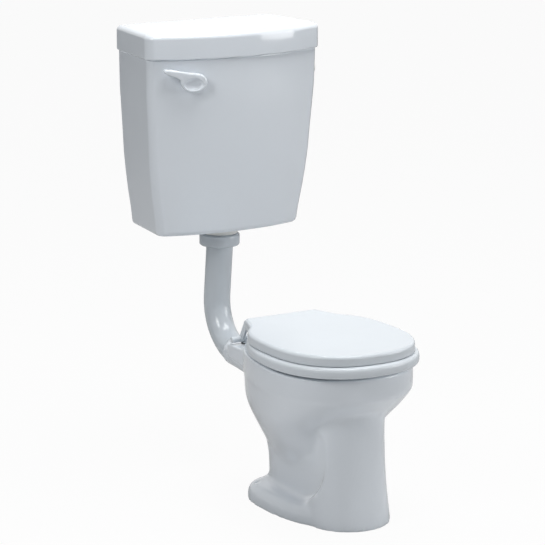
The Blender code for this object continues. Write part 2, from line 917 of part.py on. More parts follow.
def hollow_body():
    """The room inside the pedestal, open to the floor."""
    rows = [row for row in BODY_SHARES if PAN_HEIGHT * row[0] < HOLLOW_TOP]
    rings = [body_ring(row, CHINA) for row in reversed(rows)]
    rings.insert(0, body_ring(BODY_SHARES[-1], CHINA, -OVERRUN))
    return helper("pedestal_hollow", loft("pedestal_hollow", rings))


def hollow_column():
    """The room inside the front column."""
    rows = [row for row in COLUMN_SHARES if PAN_HEIGHT * row[0] < HOLLOW_TOP]
    rings = [column_ring(row, CHINA) for row in rows]
    rings.insert(0, [point - Vector((0, 0, OVERRUN)) for point in rings[0]])
    return helper("column_hollow", loft("column_hollow", rings))


def hollow_foot():
    """The room inside the foot."""
    top = FOOT_HEIGHT - FOOT_WALL
    rings = [foot_ring(-OVERRUN, FOOT_WALL), foot_ring(top, FOOT_WALL)]
    return helper("foot_hollow", loft("foot_hollow", rings))


def screw_boss_helpers():
    """China left round each floor screw hole."""
    made = []
    for side in (-1, 1):
        profile = rod_profile(SCREW_BOSS_RADIUS, 0, FOOT_HEIGHT - FOOT_WALL / 2)
        made.append(turned_helper(f"screw_boss_{side + 2}", profile, (side * SCREW_X, SCREW_Y, 0)))
    return made


def bowl_shell():
    """The china round the bowl, inside the pedestal's hollow."""
    rings = [bowl_ring(row, CHINA) for row in BOWL_SHARES[3:]]
    rings.append(bowl_ring(BOWL_SHARES[-1], CHINA / 2, CHINA))
    return helper("bowl_shell", loft("bowl_shell", rings))


def floor_trim():
    """Cuts everything off level at the floor."""
    reach = PAN_FRONT + PAN_BACK
    return helper("floor_trim", box_mesh("floor_trim", (-reach, -reach, -reach), (reach, reach, 0)))


def make_pan():
    """The china pan in one piece: bowl, flushing rim, trap, horn, deck and foot."""
    body = [body_ring(row) for row in BODY_SHARES]
    pan = piece("pan", loft("pan", body), "china")
    column = helper("front_column", loft("front_column", [column_ring(row) for row in COLUMN_SHARES]))
    foot = helper("foot", loft("foot", foot_rings()))
    join(pan, column, foot)
    cut(pan, hollow_body(), hollow_column(), hollow_foot())
    route = trap_route()
    trap_shell = helper("trap_shell", tube("trap_shell", route, TRAP_RADIUS + TRAP_WALL, TRAP_SIDES))
    slab, deck_cutters = deck_helpers()
    trap_space = helper("trap_space", tube("trap_space", route, TRAP_RADIUS, TRAP_SIDES))
    # The exact solver leaves open edges where the trap and the rim meet the rest, so the other one does
    # these steps.
    join(pan, bowl_shell(), trap_shell, *screw_boss_helpers(), slab, horn_solid(), solver="MANIFOLD")
    spaces = [floor_trim(), bowl_cutter(), rim_channel_cutter(), trap_space, horn_cup(), horn_bore()]
    cut(pan, *spaces, *deck_cutters, *screw_hole_cutters(), solver="MANIFOLD")


# Flush pipe and the joints at its two ends


def coupling_top():
    """The height of the coupling nut's shoulder under the backnut."""
    return CISTERN_BOTTOM - FIT_GAP - BACKNUT_HEIGHT - COUPLING_GROOVE


def pipe_route(start_height):
    """Straight down from the cistern, leaning back a little, then a wide bend on to the horn."""
    top = Vector((0, OUTLET_Y, start_height))
    straight = Vector((0, OUTLET_Y, coupling_top() - PIPE_STRAIGHT))
    corner = horn_point(OUTLET_Y + PIPE_LEAN)
    end = horn_point(PIPE_END_Y)
    corners = [(top, 0), (straight, PIPE_TOP_BEND), (corner, PIPE_BEND), (end, 0)]
    return rounded_corners(corners, 0, 2 * ARC_STEPS)


def make_flush_pipe():
    """The bend between the cistern and the pan, with a collar in the coupling nut and a drawn-in end."""
    top = coupling_top() - FIT_GAP
    route = pipe_route(top)
    pipe = piece("flush_pipe", tube("flush_pipe", route, PIPE_RADIUS, PIPE_SIDES), "pipe_plastic")
    collar = rod_profile(PIPE_RADIUS + PIPE_COLLAR, top - PIPE_COLLAR, top - FIT_GAP)
    join(pipe, turned_helper("pipe_collar", collar, (0, OUTLET_Y, 0)), solver="MANIFOLD")
    spigot_length = (HORN_TIP_Y - PIPE_END_Y) / horn_direction().y + FIT_GAP
    around = ring_profile(2 * PIPE_RADIUS, PIPE_SPIGOT_RADIUS, -OVERRUN, spigot_length)
    cut(pipe, turned_helper("spigot_shoulder", around, route[-1], horn_direction()), solver="MANIFOLD")
    wide = [route[0] + Vector((0, 0, OVERRUN))] + route[:-2]
    narrow = route[-4:] + [route[-1] - horn_direction() * OVERRUN]
    bores = (("pipe_bore", wide, PIPE_RADIUS), ("spigot_bore", narrow, PIPE_SPIGOT_RADIUS))
    for name, points, radius in bores:
        bore = helper(name, tube(name, points, radius - PIPE_WALL, PIPE_SIDES))
        cut(pipe, bore, solver="MANIFOLD")


def make_cone_seal():
    """The rubber sleeve between the flush pipe's end and the socket of the pan's horn."""
    outer = HORN_CUP_RADIUS - FIT_GAP
    inner = PIPE_SPIGOT_RADIUS + FIT_GAP
    start = horn_point(PIPE_END_Y)
    profile = ring_profile(outer, inner, 0, CONE_LENGTH, PIPE_WALL / 3)
    turned_piece("flush_cone_seal", profile, "rubber", start, horn_direction())


def make_outlet_nuts():
    """The siphon's backnut under the cistern and the nut that couples the flush pipe to it."""
    at = (0, OUTLET_Y, 0)
    top = CISTERN_BOTTOM - FIT_GAP
    thread = SIPHON_TAIL_RADIUS + FIT_GAP
    backnut = ring_profile(BACKNUT_RADIUS, thread, top - BACKNUT_HEIGHT, top, COUPLING_SLOPE / 2)
    turned_piece("siphon_backnut", backnut, "fitting_plastic", at, steps=FINE_STEPS)
    bottom = coupling_top() - COUPLING_HEIGHT
    lip = coupling_top() + COUPLING_GROOVE - FIT_GAP
    inner = PIPE_RADIUS + RUNNING_GAP
    seat = coupling_top() - PIPE_COLLAR - 2 * FIT_GAP
    profile = [
        (COUPLING_RADIUS - 3 * COUPLING_SLOPE, lip),
        (COUPLING_RADIUS - 3 * COUPLING_SLOPE, coupling_top()),
        (COUPLING_RADIUS, coupling_top() - COUPLING_SLOPE / 2),
        (COUPLING_RADIUS, bottom + 2 * COUPLING_SLOPE),
        (COUPLING_RADIUS - 2 * COUPLING_SLOPE, bottom),
        (inner, bottom),
        (inner, seat),
        (PIPE_RADIUS + PIPE_COLLAR + RUNNING_GAP, seat),
        (PIPE_RADIUS + PIPE_COLLAR + RUNNING_GAP, coupling_top()),
        (thread, coupling_top()),
        (thread, lip),
    ]
    turned_piece("pipe_coupling_nut", profile, "pipe_plastic", at, steps=FINE_STEPS)


# Seat, lid and hinge


def hinge_axis():
    """The middle of the hinge rod."""
    return Vector((0, HINGE_Y, deck_top() + HINGE_HEIGHT))


def seat_bottom():
    """The height of the seat's underside, over its buffers."""
    return PAN_HEIGHT + SEAT_LIFT


def seat_top():
    """The height of the seat's upper face."""
    return seat_bottom() + SEAT_THICKNESS


def seat_egg(inset, height):
    """The seat's outer outline at one height."""
    return egg(
        SEAT_HALF_WIDTH - inset,
        -SEAT_FRONT + inset,
        SEAT_BACK - inset,
        -SEAT_WIDEST,
        SEAT_POWER,
        SEAT_POWER,
        height,
    )


def seat_opening(grow, height):
    """The seat's opening at one height."""
    return egg(
        SEAT_HALF_WIDTH - SEAT_SIDE + grow,
        -SEAT_FRONT + SEAT_SIDE - grow,
        -SEAT_NOSE + grow,
        -SEAT_WIDEST,
        SEAT_POWER,
        SEAT_POWER,
        height,
    )


def seat_rings():
    """The ring's section: a rounded outer edge, a flat top and a softly rounded opening."""
    bottom, top, edge = seat_bottom(), seat_top(), SEAT_EDGE
    outer = [
        (edge / 2, bottom),
        (0, bottom + edge / 2),
        (0, top - edge),
        (edge / 3, top - edge / 3),
        (edge, top),
    ]
    inner = [
        (1.5 * edge, top),
        (edge / 2, top - edge / 2),
        (0, top - 1.5 * edge),
        (0, bottom + edge / 2),
        (edge / 2, bottom),
    ]
    return [seat_egg(*row) for row in outer] + [seat_opening(*row) for row in inner]


def lug_mesh(name, x, width, start_y, low, high):
    """A hinge lug: a plate that runs from the piece it carries back and down to a round end on the rod."""
    axis = hinge_axis()
    low_angle, high_angle = LUG_ARC_DEG
    outline = [(start_y, high), (start_y, low)]
    for k in range(ARC_STEPS + 2):
        turned = math.radians(low_angle + (high_angle - low_angle) * k / (ARC_STEPS + 1))
        outline.append((axis.y + LUG_RADIUS * math.cos(turned), axis.z + LUG_RADIUS * math.sin(turned)))
    sides = [x - width / 2, x + width / 2]
    rings = [[Vector((side, y, z)) for y, z in outline] for side in sides]
    return loft(name, rings)


def rod_bore(name):
    """The bore for the hinge rod through the lugs of a seat or a lid."""
    reach = HINGE_X + POST_WIDTH + LID_LUG_WIDTH
    profile = rod_profile(ROD_RADIUS + RUNNING_GAP, -reach, reach)
    return turned_helper(name, profile, hinge_axis(), (1, 0, 0))


def seat_lug_x():
    """The middle of the seat's right lug, inside its post."""
    return HINGE_X - POST_WIDTH / 2 - LUG_GAP - SEAT_LUG_WIDTH / 2


def lid_lug_x():
    """The middle of the lid's right lug, outside its post."""
    return HINGE_X + POST_WIDTH / 2 + LUG_GAP + LID_LUG_WIDTH / 2


def seat_buffer_places():
    """Where the four buffers stand on the rim: x and y."""
    return [(side * x, y) for x, y in SEAT_BUFFER_PLACES for side in (-1, 1)]


def make_seat(carrier):
    """The seat ring with its two hinge lugs and the holes for its buffers."""
    seat = piece("seat", ring_loft("seat", seat_rings()), "seat_plastic", parent=carrier)
    start = SEAT_BACK - SEAT_EDGE - 2 * SEAT_LUG_WIDTH / 3
    low, high = seat_bottom() + SEAT_EDGE / 2, seat_top() - SEAT_EDGE
    for side in (-1, 1):
        name = f"seat_lug_{side + 2}"
        join(seat, helper(name, lug_mesh(name, side * seat_lug_x(), SEAT_LUG_WIDTH, start, low, high)))
    cut(seat, rod_bore("seat_rod_bore"))
    for index, (x, y) in enumerate(seat_buffer_places()):
        profile = rod_profile(BUFFER_PIN_RADIUS + FIT_GAP, -OVERRUN, BUFFER_PIN_LENGTH + FIT_GAP)
        at = (x, y, seat_bottom())
        cut(seat, turned_helper(f"buffer_hole_{index + 1}", profile, at, steps=SMALL_STEPS))


def buffer_profile(radius, depth):
    """A rubber foot that hangs from a pin pushed up into a hole. Its pin starts at height 0."""
    edge = radius / 5
    return [
        (0, BUFFER_PIN_LENGTH),
        (BUFFER_PIN_RADIUS, BUFFER_PIN_LENGTH),
        (BUFFER_PIN_RADIUS, -FIT_GAP),
        (radius, -FIT_GAP),
        (radius, -depth + edge),
        (radius - edge, -depth),
        (0, -depth),
    ]


def make_seat_buffers(carrier):
    """The four rubber feet that the seat rests on."""
    for index, (x, y) in enumerate(seat_buffer_places()):
        profile = buffer_profile(BUFFER_RADIUS, SEAT_LIFT - FIT_GAP)
        at = (x, y, seat_bottom())
        turned_piece(f"seat_buffer_{index + 1}", profile, "rubber", at, parent=carrier, steps=TURN_STEPS)


def lid_bottom():
    """The height of the lid's rim."""
    return seat_top() + LID_LIFT


def lid_outline():
    """The lid's outline: an egg that narrows to a straight tab over the hinge."""
    points = egg(
        LID_HALF_WIDTH,
        -LID_FRONT,
        LID_SHOULDER_Y,
        -SEAT_WIDEST,
        SEAT_POWER,
        PAN_BACK_POWER,
        0,
        LID_POINTS,
    )
    shoulder = LID_TAB_HALF_WIDTH + LID_EDGE
    front = [point for point in points if point.y < -SEAT_WIDEST or abs(point.x) > shoulder]
    right = [point for point in front if point.x > 0 and point.y > -SEAT_WIDEST]
    left = [point for point in front if point.x < 0 and point.y > -SEAT_WIDEST]
    front = [point for point in front if point.y <= -SEAT_WIDEST]
    right.sort(key=lambda point: point.y)
    left.sort(key=lambda point: -point.y)
    front.sort(key=lambda point: math.atan2(point.y + SEAT_WIDEST, point.x))
    x, neck = LID_TAB_HALF_WIDTH, right[-1].y + LID_EDGE
    corners = [
        (right[-1], 0),
        ((x, neck, 0), LID_EDGE / 2),
        ((x - LID_EDGE / 3, LID_TAB_Y, 0), LID_EDGE),
        ((-x + LID_EDGE / 3, LID_TAB_Y, 0), LID_EDGE),
        ((-x, neck, 0), LID_EDGE / 2),
        (left[0], 0),
    ]
    tab = rounded_corners(corners)[1:-1]
    return right + tab + left + front


def inset_outline(points, distance):
    """A flat outline moved inwards by a small distance. Its points run anticlockwise."""
    made = []
    count = len(points)
    for i, point in enumerate(points):
        before = (point - points[i - 1]).normalized()
        after = (points[(i + 1) % count] - point).normalized()
        inward = Vector((-before.y - after.y, before.x + after.x, 0)).normalized()
        lean = max(inward.dot(Vector((-before.y, before.x, 0))), 1 / 2)
        made.append(point + inward * (distance / lean))
    return made


def at_height(points, height):
    """A flat outline moved to one height."""
    return [Vector((point.x, point.y, height)) for point in points]


def make_seat_lid(carrier):
    """The lid: a thin shell, open below, with two hinge lugs and two bosses for its buffers."""
    outline = lid_outline()
    bottom, top = lid_bottom(), lid_bottom() + LID_THICKNESS
    section = [
        (LID_EDGE / 4, bottom),
        (0, bottom + LID_EDGE / 4),
        (0, top - LID_EDGE),
        (LID_EDGE / 4, top - LID_EDGE / 3),
        (LID_EDGE, top),
    ]
    rings = [at_height(inset_outline(outline, inset), height) for inset, height in section]
    lid = piece("seat_lid", loft("seat_lid", rings), "seat_plastic", parent=carrier)
    roof = top - LID_WALL
    hollow = [(LID_WALL, bottom - OVERRUN), (LID_WALL, roof - LID_WALL), (1.5 * LID_WALL, roof)]
    rings = [at_height(inset_outline(outline, inset), height) for inset, height in hollow]
    cut(lid, helper("lid_hollow", loft("lid_hollow", rings)))
    for side in (-1, 1):
        name = f"lid_lug_{side + 2}"
        start = LID_TAB_Y - 3 * LID_WALL
        mesh = lug_mesh(name, side * lid_lug_x(), LID_LUG_WIDTH, start, bottom, roof + LID_WALL / 2)
        join(lid, helper(name, mesh))
    cut(lid, rod_bore("lid_rod_bore"))
    for index, (x, y) in enumerate(lid_buffer_places()):
        boss = rod_profile(BUFFER_RADIUS, -LID_BOSS, LID_WALL / 2)
        join(lid, turned_helper(f"buffer_boss_{index + 1}", boss, (x, y, roof), steps=SMALL_STEPS))
        hole_end = BUFFER_PIN_LENGTH + FIT_GAP - LID_BOSS
        hole = rod_profile(BUFFER_PIN_RADIUS + FIT_GAP, -LID_BOSS - OVERRUN, hole_end)
        cut(lid, turned_helper(f"lid_buffer_hole_{index + 1}", hole, (x, y, roof), steps=SMALL_STEPS))


def lid_buffer_places():
    """Where the lid's two buffers stand on the seat: x and y."""
    return [(side * LID_BUFFER_X, LID_BUFFER_Y) for side in (-1, 1)]


def make_lid_buffers(carrier):
    """The two rubber feet that the lid rests on."""
    boss_foot = lid_bottom() + LID_THICKNESS - LID_WALL - LID_BOSS
    for index, (x, y) in enumerate(lid_buffer_places()):
        profile = buffer_profile(BUFFER_RADIUS - FIT_GAP, boss_foot - seat_top() - FIT_GAP)
        turned_piece(f"lid_buffer_{index + 1}", profile, "rubber", (x, y, boss_foot), parent=carrier)


def make_hinge():
    """The rod through the lugs, its end caps, and the two posts bolted through the deck."""
    axis = hinge_axis()
    cap_face = lid_lug_x() + LID_LUG_WIDTH / 2 + LUG_GAP
    rod_end = cap_face + ROD_RADIUS / 2
    rod = rod_profile(ROD_RADIUS, -rod_end, rod_end, ROD_RADIUS / 6)
    turned_piece("hinge_rod", rod, "steel", axis, (1, 0, 0))
    for side, word in ((-1, "left"), (1, "right")):
        depth = rod_end - cap_face + FIT_GAP
        bore, outer, edge = ROD_RADIUS + FIT_GAP, POST_RADIUS, ROD_RADIUS / 4
        profile = [
            (0, depth + ROD_RADIUS),
            (outer - edge, depth + ROD_RADIUS),
            (outer, depth + ROD_RADIUS - edge),
            (outer, 0),
            (bore, 0),
            (bore, depth),
            (0, depth),
        ]
        at = axis + Vector((side * cap_face, 0, 0))
        turned_piece(f"hinge_cap_{word}", profile, "seat_plastic", at, (side, 0, 0))
        make_hinge_post(word, side * HINGE_X)


def make_hinge_post(word, x):
    """One post, with the washers and the wing nut that hold it to the deck."""
    axis = hinge_axis()
    at = Vector((x, axis.y, deck_top()))
    pad = WASHER_THICKNESS + FIT_GAP * 2
    shank = -DECK_THICKNESS - BOLT_LENGTH
    collar = POST_RADIUS - ROD_RADIUS / 4
    profile = [
        (0, axis.z - at.z),
        (collar, axis.z - at.z),
        (collar, pad + WASHER_THICKNESS),
        (POST_BASE_RADIUS, pad + WASHER_THICKNESS / 2),
        (POST_BASE_RADIUS, pad),
        (BOLT_RADIUS, pad),
        (BOLT_RADIUS, shank + BOLT_RADIUS / 4),
        (BOLT_RADIUS - BOLT_RADIUS / 4, shank),
        (0, shank),
    ]
    post = turned_piece(f"hinge_post_{word}", profile, "seat_plastic", at)
    head = rod_profile(POST_RADIUS, -POST_WIDTH / 2, POST_WIDTH / 2, ROD_RADIUS / 5)
    head_at = Vector((x, axis.y, axis.z))
    join(post, turned_helper(f"post_head_{word}", head, head_at, (1, 0, 0)))
    bore = rod_profile(ROD_RADIUS + FIT_GAP, -POST_WIDTH, POST_WIDTH)
    cut(post, turned_helper(f"post_bore_{word}", bore, head_at, (1, 0, 0)))
    inner = BOLT_RADIUS + FIT_GAP
    upper = ring_profile(POST_BASE_RADIUS, inner, FIT_GAP, FIT_GAP + WASHER_THICKNESS)
    turned_piece(f"hinge_washer_{word}", upper, "rubber", at)
    under = -DECK_THICKNESS - FIT_GAP
    lower = ring_profile(1.5 * BOLT_HOLE_RADIUS, inner, under - WASHER_THICKNESS, under)
    turned_piece(f"deck_washer_{word}", lower, "fitting_plastic", at)
    make_wing_nut(word, at + Vector((0, 0, under - WASHER_THICKNESS - FIT_GAP)))


def make_wing_nut(word, at):
    """A plastic nut with two wings for the fingers."""
    inner = BOLT_RADIUS + FIT_GAP
    hub = ring_profile(WING_NUT_RADIUS, inner, -WING_NUT_HEIGHT, 0, WING_NUT_RADIUS / 8)
    nut = turned_piece(f"wing_nut_{word}", hub, "fitting_plastic", at)
    thick, start = WING_NUT_RADIUS / 5, (inner + WING_NUT_RADIUS) / 2
    drop = WING_NUT_HEIGHT
    for side in (-1, 1):
        low, high = sorted((side * start, side * WING_SPAN))
        mesh = box_mesh(f"wing_{word}_{side + 2}", (low, -thick, -1.4 * drop), (high, thick, -drop / 4))
        wing = helper(mesh.name, mesh, at)
        bevel(wing, thick / 2, 2)
        join(nut, wing)


# Cistern


def tank_points(row, inset=0.0, grow_front=0.0):
    """One level outline of the cistern, anticlockwise, with its front bowed forwards."""
    level, width, depth, bow = row
    back = WALL_Y - FIT_GAP - inset
    half_back = TANK_HALF_BACK * width - inset + grow_front
    half_front = TANK_HALF_FRONT * width - inset + grow_front
    corner_y = WALL_Y - TANK_SIDE_DEPTH * depth + inset - grow_front
    swell = TANK_BOW * bow
    radius = (half_front**2 + swell**2) / (2 * swell)
    middle = corner_y - swell + radius
    half_angle = math.asin(half_front / radius)
    bowed = []
    for k in range(1, TANK_BOW_POINTS):
        turned = half_angle * (2 * k / TANK_BOW_POINTS - 1)
        bowed.append(((radius * math.sin(turned), middle - radius * math.cos(turned), 0), 0))
    front_round = max(TANK_FRONT_ROUND - inset + grow_front, TANK_BACK_ROUND)
    back_round = max(TANK_BACK_ROUND - inset, TANK_LIP_ROUND)
    corners = [((half_back, back, 0), back_round), ((-half_back, back, 0), back_round)]
    corners.append(((-half_front, corner_y, 0), front_round))
    corners += bowed[1:-1]
    corners.append(((half_front, corner_y, 0), front_round))
    points = rounded_corners(corners)
    height = CISTERN_BOTTOM + TANK_HEIGHT * level
    return [Vector((point.x, point.y, height)) for point in points]


def blended_row(level):
    """The cistern's row at any height share."""
    for lower, upper in zip(TANK_SHARES, TANK_SHARES[1:]):
        if lower[0] <= level <= upper[0]:
            mix = (level - lower[0]) / (upper[0] - lower[0])
            return tuple(a + (b - a) * mix for a, b in zip(lower, upper))
    return TANK_SHARES[-1]


def tank_top():
    """The height of the cistern's rim."""
    return CISTERN_BOTTOM + TANK_HEIGHT


def front_wall_point(x, height):
    """A point of the cistern's outer front face, and the level direction out of it."""
    level, width, depth, bow = blended_row((height - CISTERN_BOTTOM) / TANK_HEIGHT)
    swell = TANK_BOW * bow
    half = TANK_HALF_FRONT * width
    radius = (half**2 + swell**2) / (2 * swell)
    fall = math.sqrt(radius**2 - x**2)
    y = WALL_Y - TANK_SIDE_DEPTH * depth - swell + radius - fall
    return Vector((x, y, height)), Vector((x, -fall, 0)).normalized()


def side_wall_point(y, height):
    """A point of the cistern's right side."""
    width, depth = blended_row((height - CISTERN_BOTTOM) / TANK_HEIGHT)[1:3]
    spread = (TANK_HALF_FRONT - TANK_HALF_BACK) * width
    x = TANK_HALF_BACK * width + spread * (WALL_Y - y) / (TANK_SIDE_DEPTH * depth)
    return Vector((x, y, height))


def lever_place():
    """Where the lever's axis leaves the cistern's front, and its direction."""
    return front_wall_point(-LEVER_X, tank_top() - LEVER_DROP)


def valve_place():
    """Where the valve's axis leaves the cistern's right side."""
    return side_wall_point(VALVE_Y, tank_top() - VALVE_DROP)


def make_tank():
    """The china cistern, open above, with holes for the outlet, the inlet, the lever and the wall screws."""
    tank = piece("cistern_tank", loft("cistern_tank", [tank_points(row) for row in TANK_SHARES]), "china")
    floor_level, rim_level = TANK_FLOOR / TANK_HEIGHT, TANK_SHARES[-2][0]
    levels = [floor_level] + [row[0] for row in TANK_SHARES if 2 * floor_level < row[0] < rim_level]
    levels.append(1 + OVERRUN / TANK_HEIGHT)
    rows = [(level, *blended_row(min(level, 1))[1:]) for level in levels]
    rows[0] = (floor_level, *(share * TANK_FLOOR_SHARE for share in rows[0][1:3]), rows[0][3])
    hollow = helper("cistern_room", loft("cistern_room", [tank_points(row, TANK_WALL) for row in rows]))
    cutters = [hollow]
    outlet = rod_profile(SIPHON_TAIL_RADIUS + OUTLET_HOLE_CLEARANCE, -OVERRUN, TANK_FLOOR + OVERRUN)
    cutters.append(turned_helper("outlet_hole", outlet, (0, OUTLET_Y, CISTERN_BOTTOM)))
    for side in (-1, 1):
        at = (side * WALL_HOLE_X, WALL_Y, tank_top() - WALL_HOLE_DROP)
        profile = rod_profile(WALL_HOLE_RADIUS, -OVERRUN, 3 * TANK_WALL)
        cutters.append(turned_helper(f"wall_screw_hole_{side + 2}", profile, at, (0, -1, 0)))
    lever_at, lever_out = lever_place()
    inlet_at, inlet_out = valve_place(), (1, 0, 0)
    lever_hole = BUSH_RADIUS + BUSH_WALL_CLEARANCE
    inlet_hole = VALVE_SHANK_RADIUS + VALVE_HOLE_CLEARANCE
    for name, at, out, hole, outer, inner in (
        ("lever", lever_at, lever_out, lever_hole, BUSH_FLANGE, LEVER_NUT_RADIUS),
        ("inlet", inlet_at, inlet_out, inlet_hole, VALVE_NUT_RADIUS, VALVE_FLANGE_RADIUS),
    ):
        through = rod_profile(hole, -3 * TANK_WALL, TANK_WALL)
        cutters.append(turned_helper(name + "_hole", through, at, out))
        facing = rod_profile(outer + 2 * RUNNING_GAP, -FACING_DEPTH, TANK_WALL)
        cutters.append(turned_helper(name + "_outer_facing", facing, at, out))
        facing = rod_profile(inner + 2 * RUNNING_GAP, -3 * TANK_WALL, FACING_DEPTH - TANK_WALL)
        cutters.append(turned_helper(name + "_inner_facing", facing, at, out))
    # The exact solver leaves open edges at the facings, so the other one does these cuts.
    cut(tank, *cutters, solver="MANIFOLD")


def make_cistern_lid(carrier):
    """The loose china lid, hollow below, with a rib that keeps it in the tank's mouth."""
    width, depth, bow = TANK_SHARES[-2][1:]
    bottom = tank_top() + FIT_GAP
    base = (bottom - CISTERN_BOTTOM) / TANK_HEIGHT
    rise = CISTERN_LID_HEIGHT / TANK_HEIGHT
    edge = CISTERN_LID_ROUND

    def ring(level, inset):
        """The lid's outline at one level, measured as the tank's are."""
        return tank_points((level, width, depth, bow), max(inset, 0), LID_OVERHANG)

    section = [(0, TANK_LIP_ROUND / 3), (TANK_LIP_ROUND / TANK_HEIGHT, 0)]
    for k in range(ARC_STEPS):
        turned = k / (ARC_STEPS - 1) * math.pi / 2
        up = rise - edge / TANK_HEIGHT * (1 - math.sin(turned))
        section.append((up, edge * (1 - math.cos(turned))))
    rings = [ring(base + up, inset) for up, inset in section]
    lid = piece("cistern_lid", loft("cistern_lid", rings), "china", parent=carrier)
    rib_foot = base - CISTERN_LID_RIB_DEPTH / TANK_HEIGHT
    inset = CISTERN_LID_BEARING
    rib = [ring(level, inset) for level in (rib_foot, base + rise / 3)]
    join(lid, helper("lid_rib", loft("lid_rib", rib)))
    top = base + rise - CISTERN_LID_ROOF / TANK_HEIGHT
    room = inset + CISTERN_LID_RIB
    hollow = [(rib_foot - OVERRUN / TANK_HEIGHT, room), (top - edge / TANK_HEIGHT, room), (top, room + edge)]
    rings = [ring(level, inset) for level, inset in hollow]
    cut(lid, helper("lid_room", loft("lid_room", rings)))


# Siphon


def siphon_at(x=0.0, height=0.0):
    """A point over the outlet, measured from the cistern's bottom."""
    return Vector((x, OUTLET_Y, CISTERN_BOTTOM + height))


def siphon_flange_foot():
    """The height of the siphon's flange, over its washer."""
    return TANK_FLOOR + SEALING_WASHER + 2 * FIT_GAP


def siphon_solid(grow, name, drop):
    """The siphon's outside, or with a wall's thickness taken off, the water way through it."""
    tail = SIPHON_TAIL_RADIUS + grow
    head_low = SIPHON_HEAD_HEIGHT - grow
    head_high = SIPHON_HEAD_TOP + grow
    leg = rod_profile(tail, -SIPHON_TAIL_LENGTH - drop, head_low + SIPHON_WALL * 2)
    made = turned_helper(name + "_leg", leg, siphon_at())
    head = box_mesh(
        name + "_head",
        siphon_at(-tail, head_low) - Vector((0, tail, 0)),
        siphon_at(CHAMBER_X + tail / 2, head_high) + Vector((0, tail, 0)),
    )
    top = helper(name + "_head", head)
    bevel(top, SIPHON_HEAD_ROUND + grow, 3)
    foot = CHAMBER_FOOT - drop
    dome = CHAMBER_TOP + grow
    profile = [
        (0, dome),
        (CHAMBER_RADIUS + grow - SIPHON_HEAD_ROUND / 2, dome),
        (CHAMBER_RADIUS + grow, dome - SIPHON_HEAD_ROUND / 2),
        (CHAMBER_RADIUS + grow, foot),
        (0, foot),
    ]
    chamber = turned_helper(name + "_chamber", profile, siphon_at(CHAMBER_X), steps=FINE_STEPS)
    profile = rod_profile(tail, dome - 3 * SIPHON_WALL, head_low + 3 * SIPHON_WALL)
    neck = turned_helper(name + "_neck", profile, siphon_at(CHAMBER_X))
    return made, top, chamber, neck


def make_siphon():
    """The siphon: a chamber, a head that bridges over, and a leg down through the cistern's floor."""
    flange = ring_profile(
        SIPHON_FLANGE_RADIUS,
        SIPHON_TAIL_RADIUS - SIPHON_WALL / 2,
        siphon_flange_foot(),
        siphon_flange_foot() + SIPHON_FLANGE_THICKNESS,
        SIPHON_WALL / 3,
    )
    body = turned_piece("siphon_body", flange, "fitting_plastic", siphon_at(), steps=FINE_STEPS)
    join(body, *siphon_solid(0.0, "siphon_outside", 0.0), solver="MANIFOLD")
    cut(body, *siphon_solid(-SIPHON_WALL, "siphon_inside", OVERRUN), solver="MANIFOLD")
    hole = rod_profile(LIFT_ROD_RADIUS + RUNNING_GAP, CHAMBER_TOP - 3 * SIPHON_WALL, CHAMBER_TOP + OVERRUN)
    cut(body, turned_helper("rod_hole", hole, siphon_at(LIFT_ROD_X)), solver="MANIFOLD")
    washer = ring_profile(
        SIPHON_FLANGE_RADIUS,
        SIPHON_TAIL_RADIUS + FIT_GAP,
        TANK_FLOOR + FIT_GAP,
        TANK_FLOOR + FIT_GAP + SEALING_WASHER,
    )
    turned_piece("siphon_tail_washer", washer, "rubber", siphon_at(), steps=FINE_STEPS)
    flats = math.cos(math.pi / PIPE_SIDES)
    seal = ring_profile(
        (PIPE_RADIUS - PIPE_WALL) * flats - FIT_GAP,
        SIPHON_TAIL_RADIUS + FIT_GAP,
        coupling_top() - FIT_GAP - COUPLING_HEIGHT / 3,
        coupling_top() - FIT_GAP,
    )
    turned_piece("pipe_sealing_ring", seal, "rubber", (0, OUTLET_Y, 0), steps=FINE_STEPS)


def lift_arm_height():
    """The height of the lift arm where it carries the piston's eye, with the lever at rest."""
    return lever_place()[0].z - math.tan(math.radians(LEVER_TILT_DEG)) * arm_reach()


def arm_reach():
    """The distance from the lever's axis to the eye, square to the axis."""
    at, out = lever_place()
    across = Vector((-out.y, out.x, 0))
    return (siphon_at(LIFT_ROD_X) - at).dot(across)


def make_piston(carrier):
    """The plate that pushes water up the siphon, its diaphragm, its rod and the eye on the rod."""
    radius = CHAMBER_RADIUS - SIPHON_WALL - 2 * RUNNING_GAP
    low, high = PISTON_HEIGHT, PISTON_HEIGHT + PISTON_THICKNESS
    at = siphon_at(CHAMBER_X)
    disc = rod_profile(radius, low, high)
    piston = turned_piece("siphon_piston", disc, "fitting_plastic", at, parent=carrier, steps=FINE_STEPS)
    for k in range(PISTON_HOLES):
        turned = math.tau * (k + 0.5) / PISTON_HOLES
        spot = at + Vector((math.cos(turned), math.sin(turned), 0)) * radius * PISTON_HOLE_SHARE
        hole = rod_profile(PISTON_HOLE_RADIUS, low - OVERRUN, high + OVERRUN)
        cut(piston, turned_helper(f"piston_hole_{k + 1}", hole, spot, steps=SMALL_STEPS))
    film_low, film_high = high + FIT_GAP, high + FIT_GAP + DIAPHRAGM_THICKNESS
    film = rod_profile(DIAPHRAGM_RADIUS, film_low, film_high)
    diaphragm = turned_piece("siphon_diaphragm", film, "rubber", at, parent=carrier, steps=FINE_STEPS)
    slack = rod_profile(LIFT_ROD_RADIUS + FIT_GAP, low - OVERRUN, film_high + OVERRUN)
    cut(piston, turned_helper("piston_rod_hole", slack, siphon_at(LIFT_ROD_X)))
    cut(diaphragm, turned_helper("film_rod_hole", slack, siphon_at(LIFT_ROD_X)))
    make_lift_rod(carrier, low - FIT_GAP, film_high + FIT_GAP)


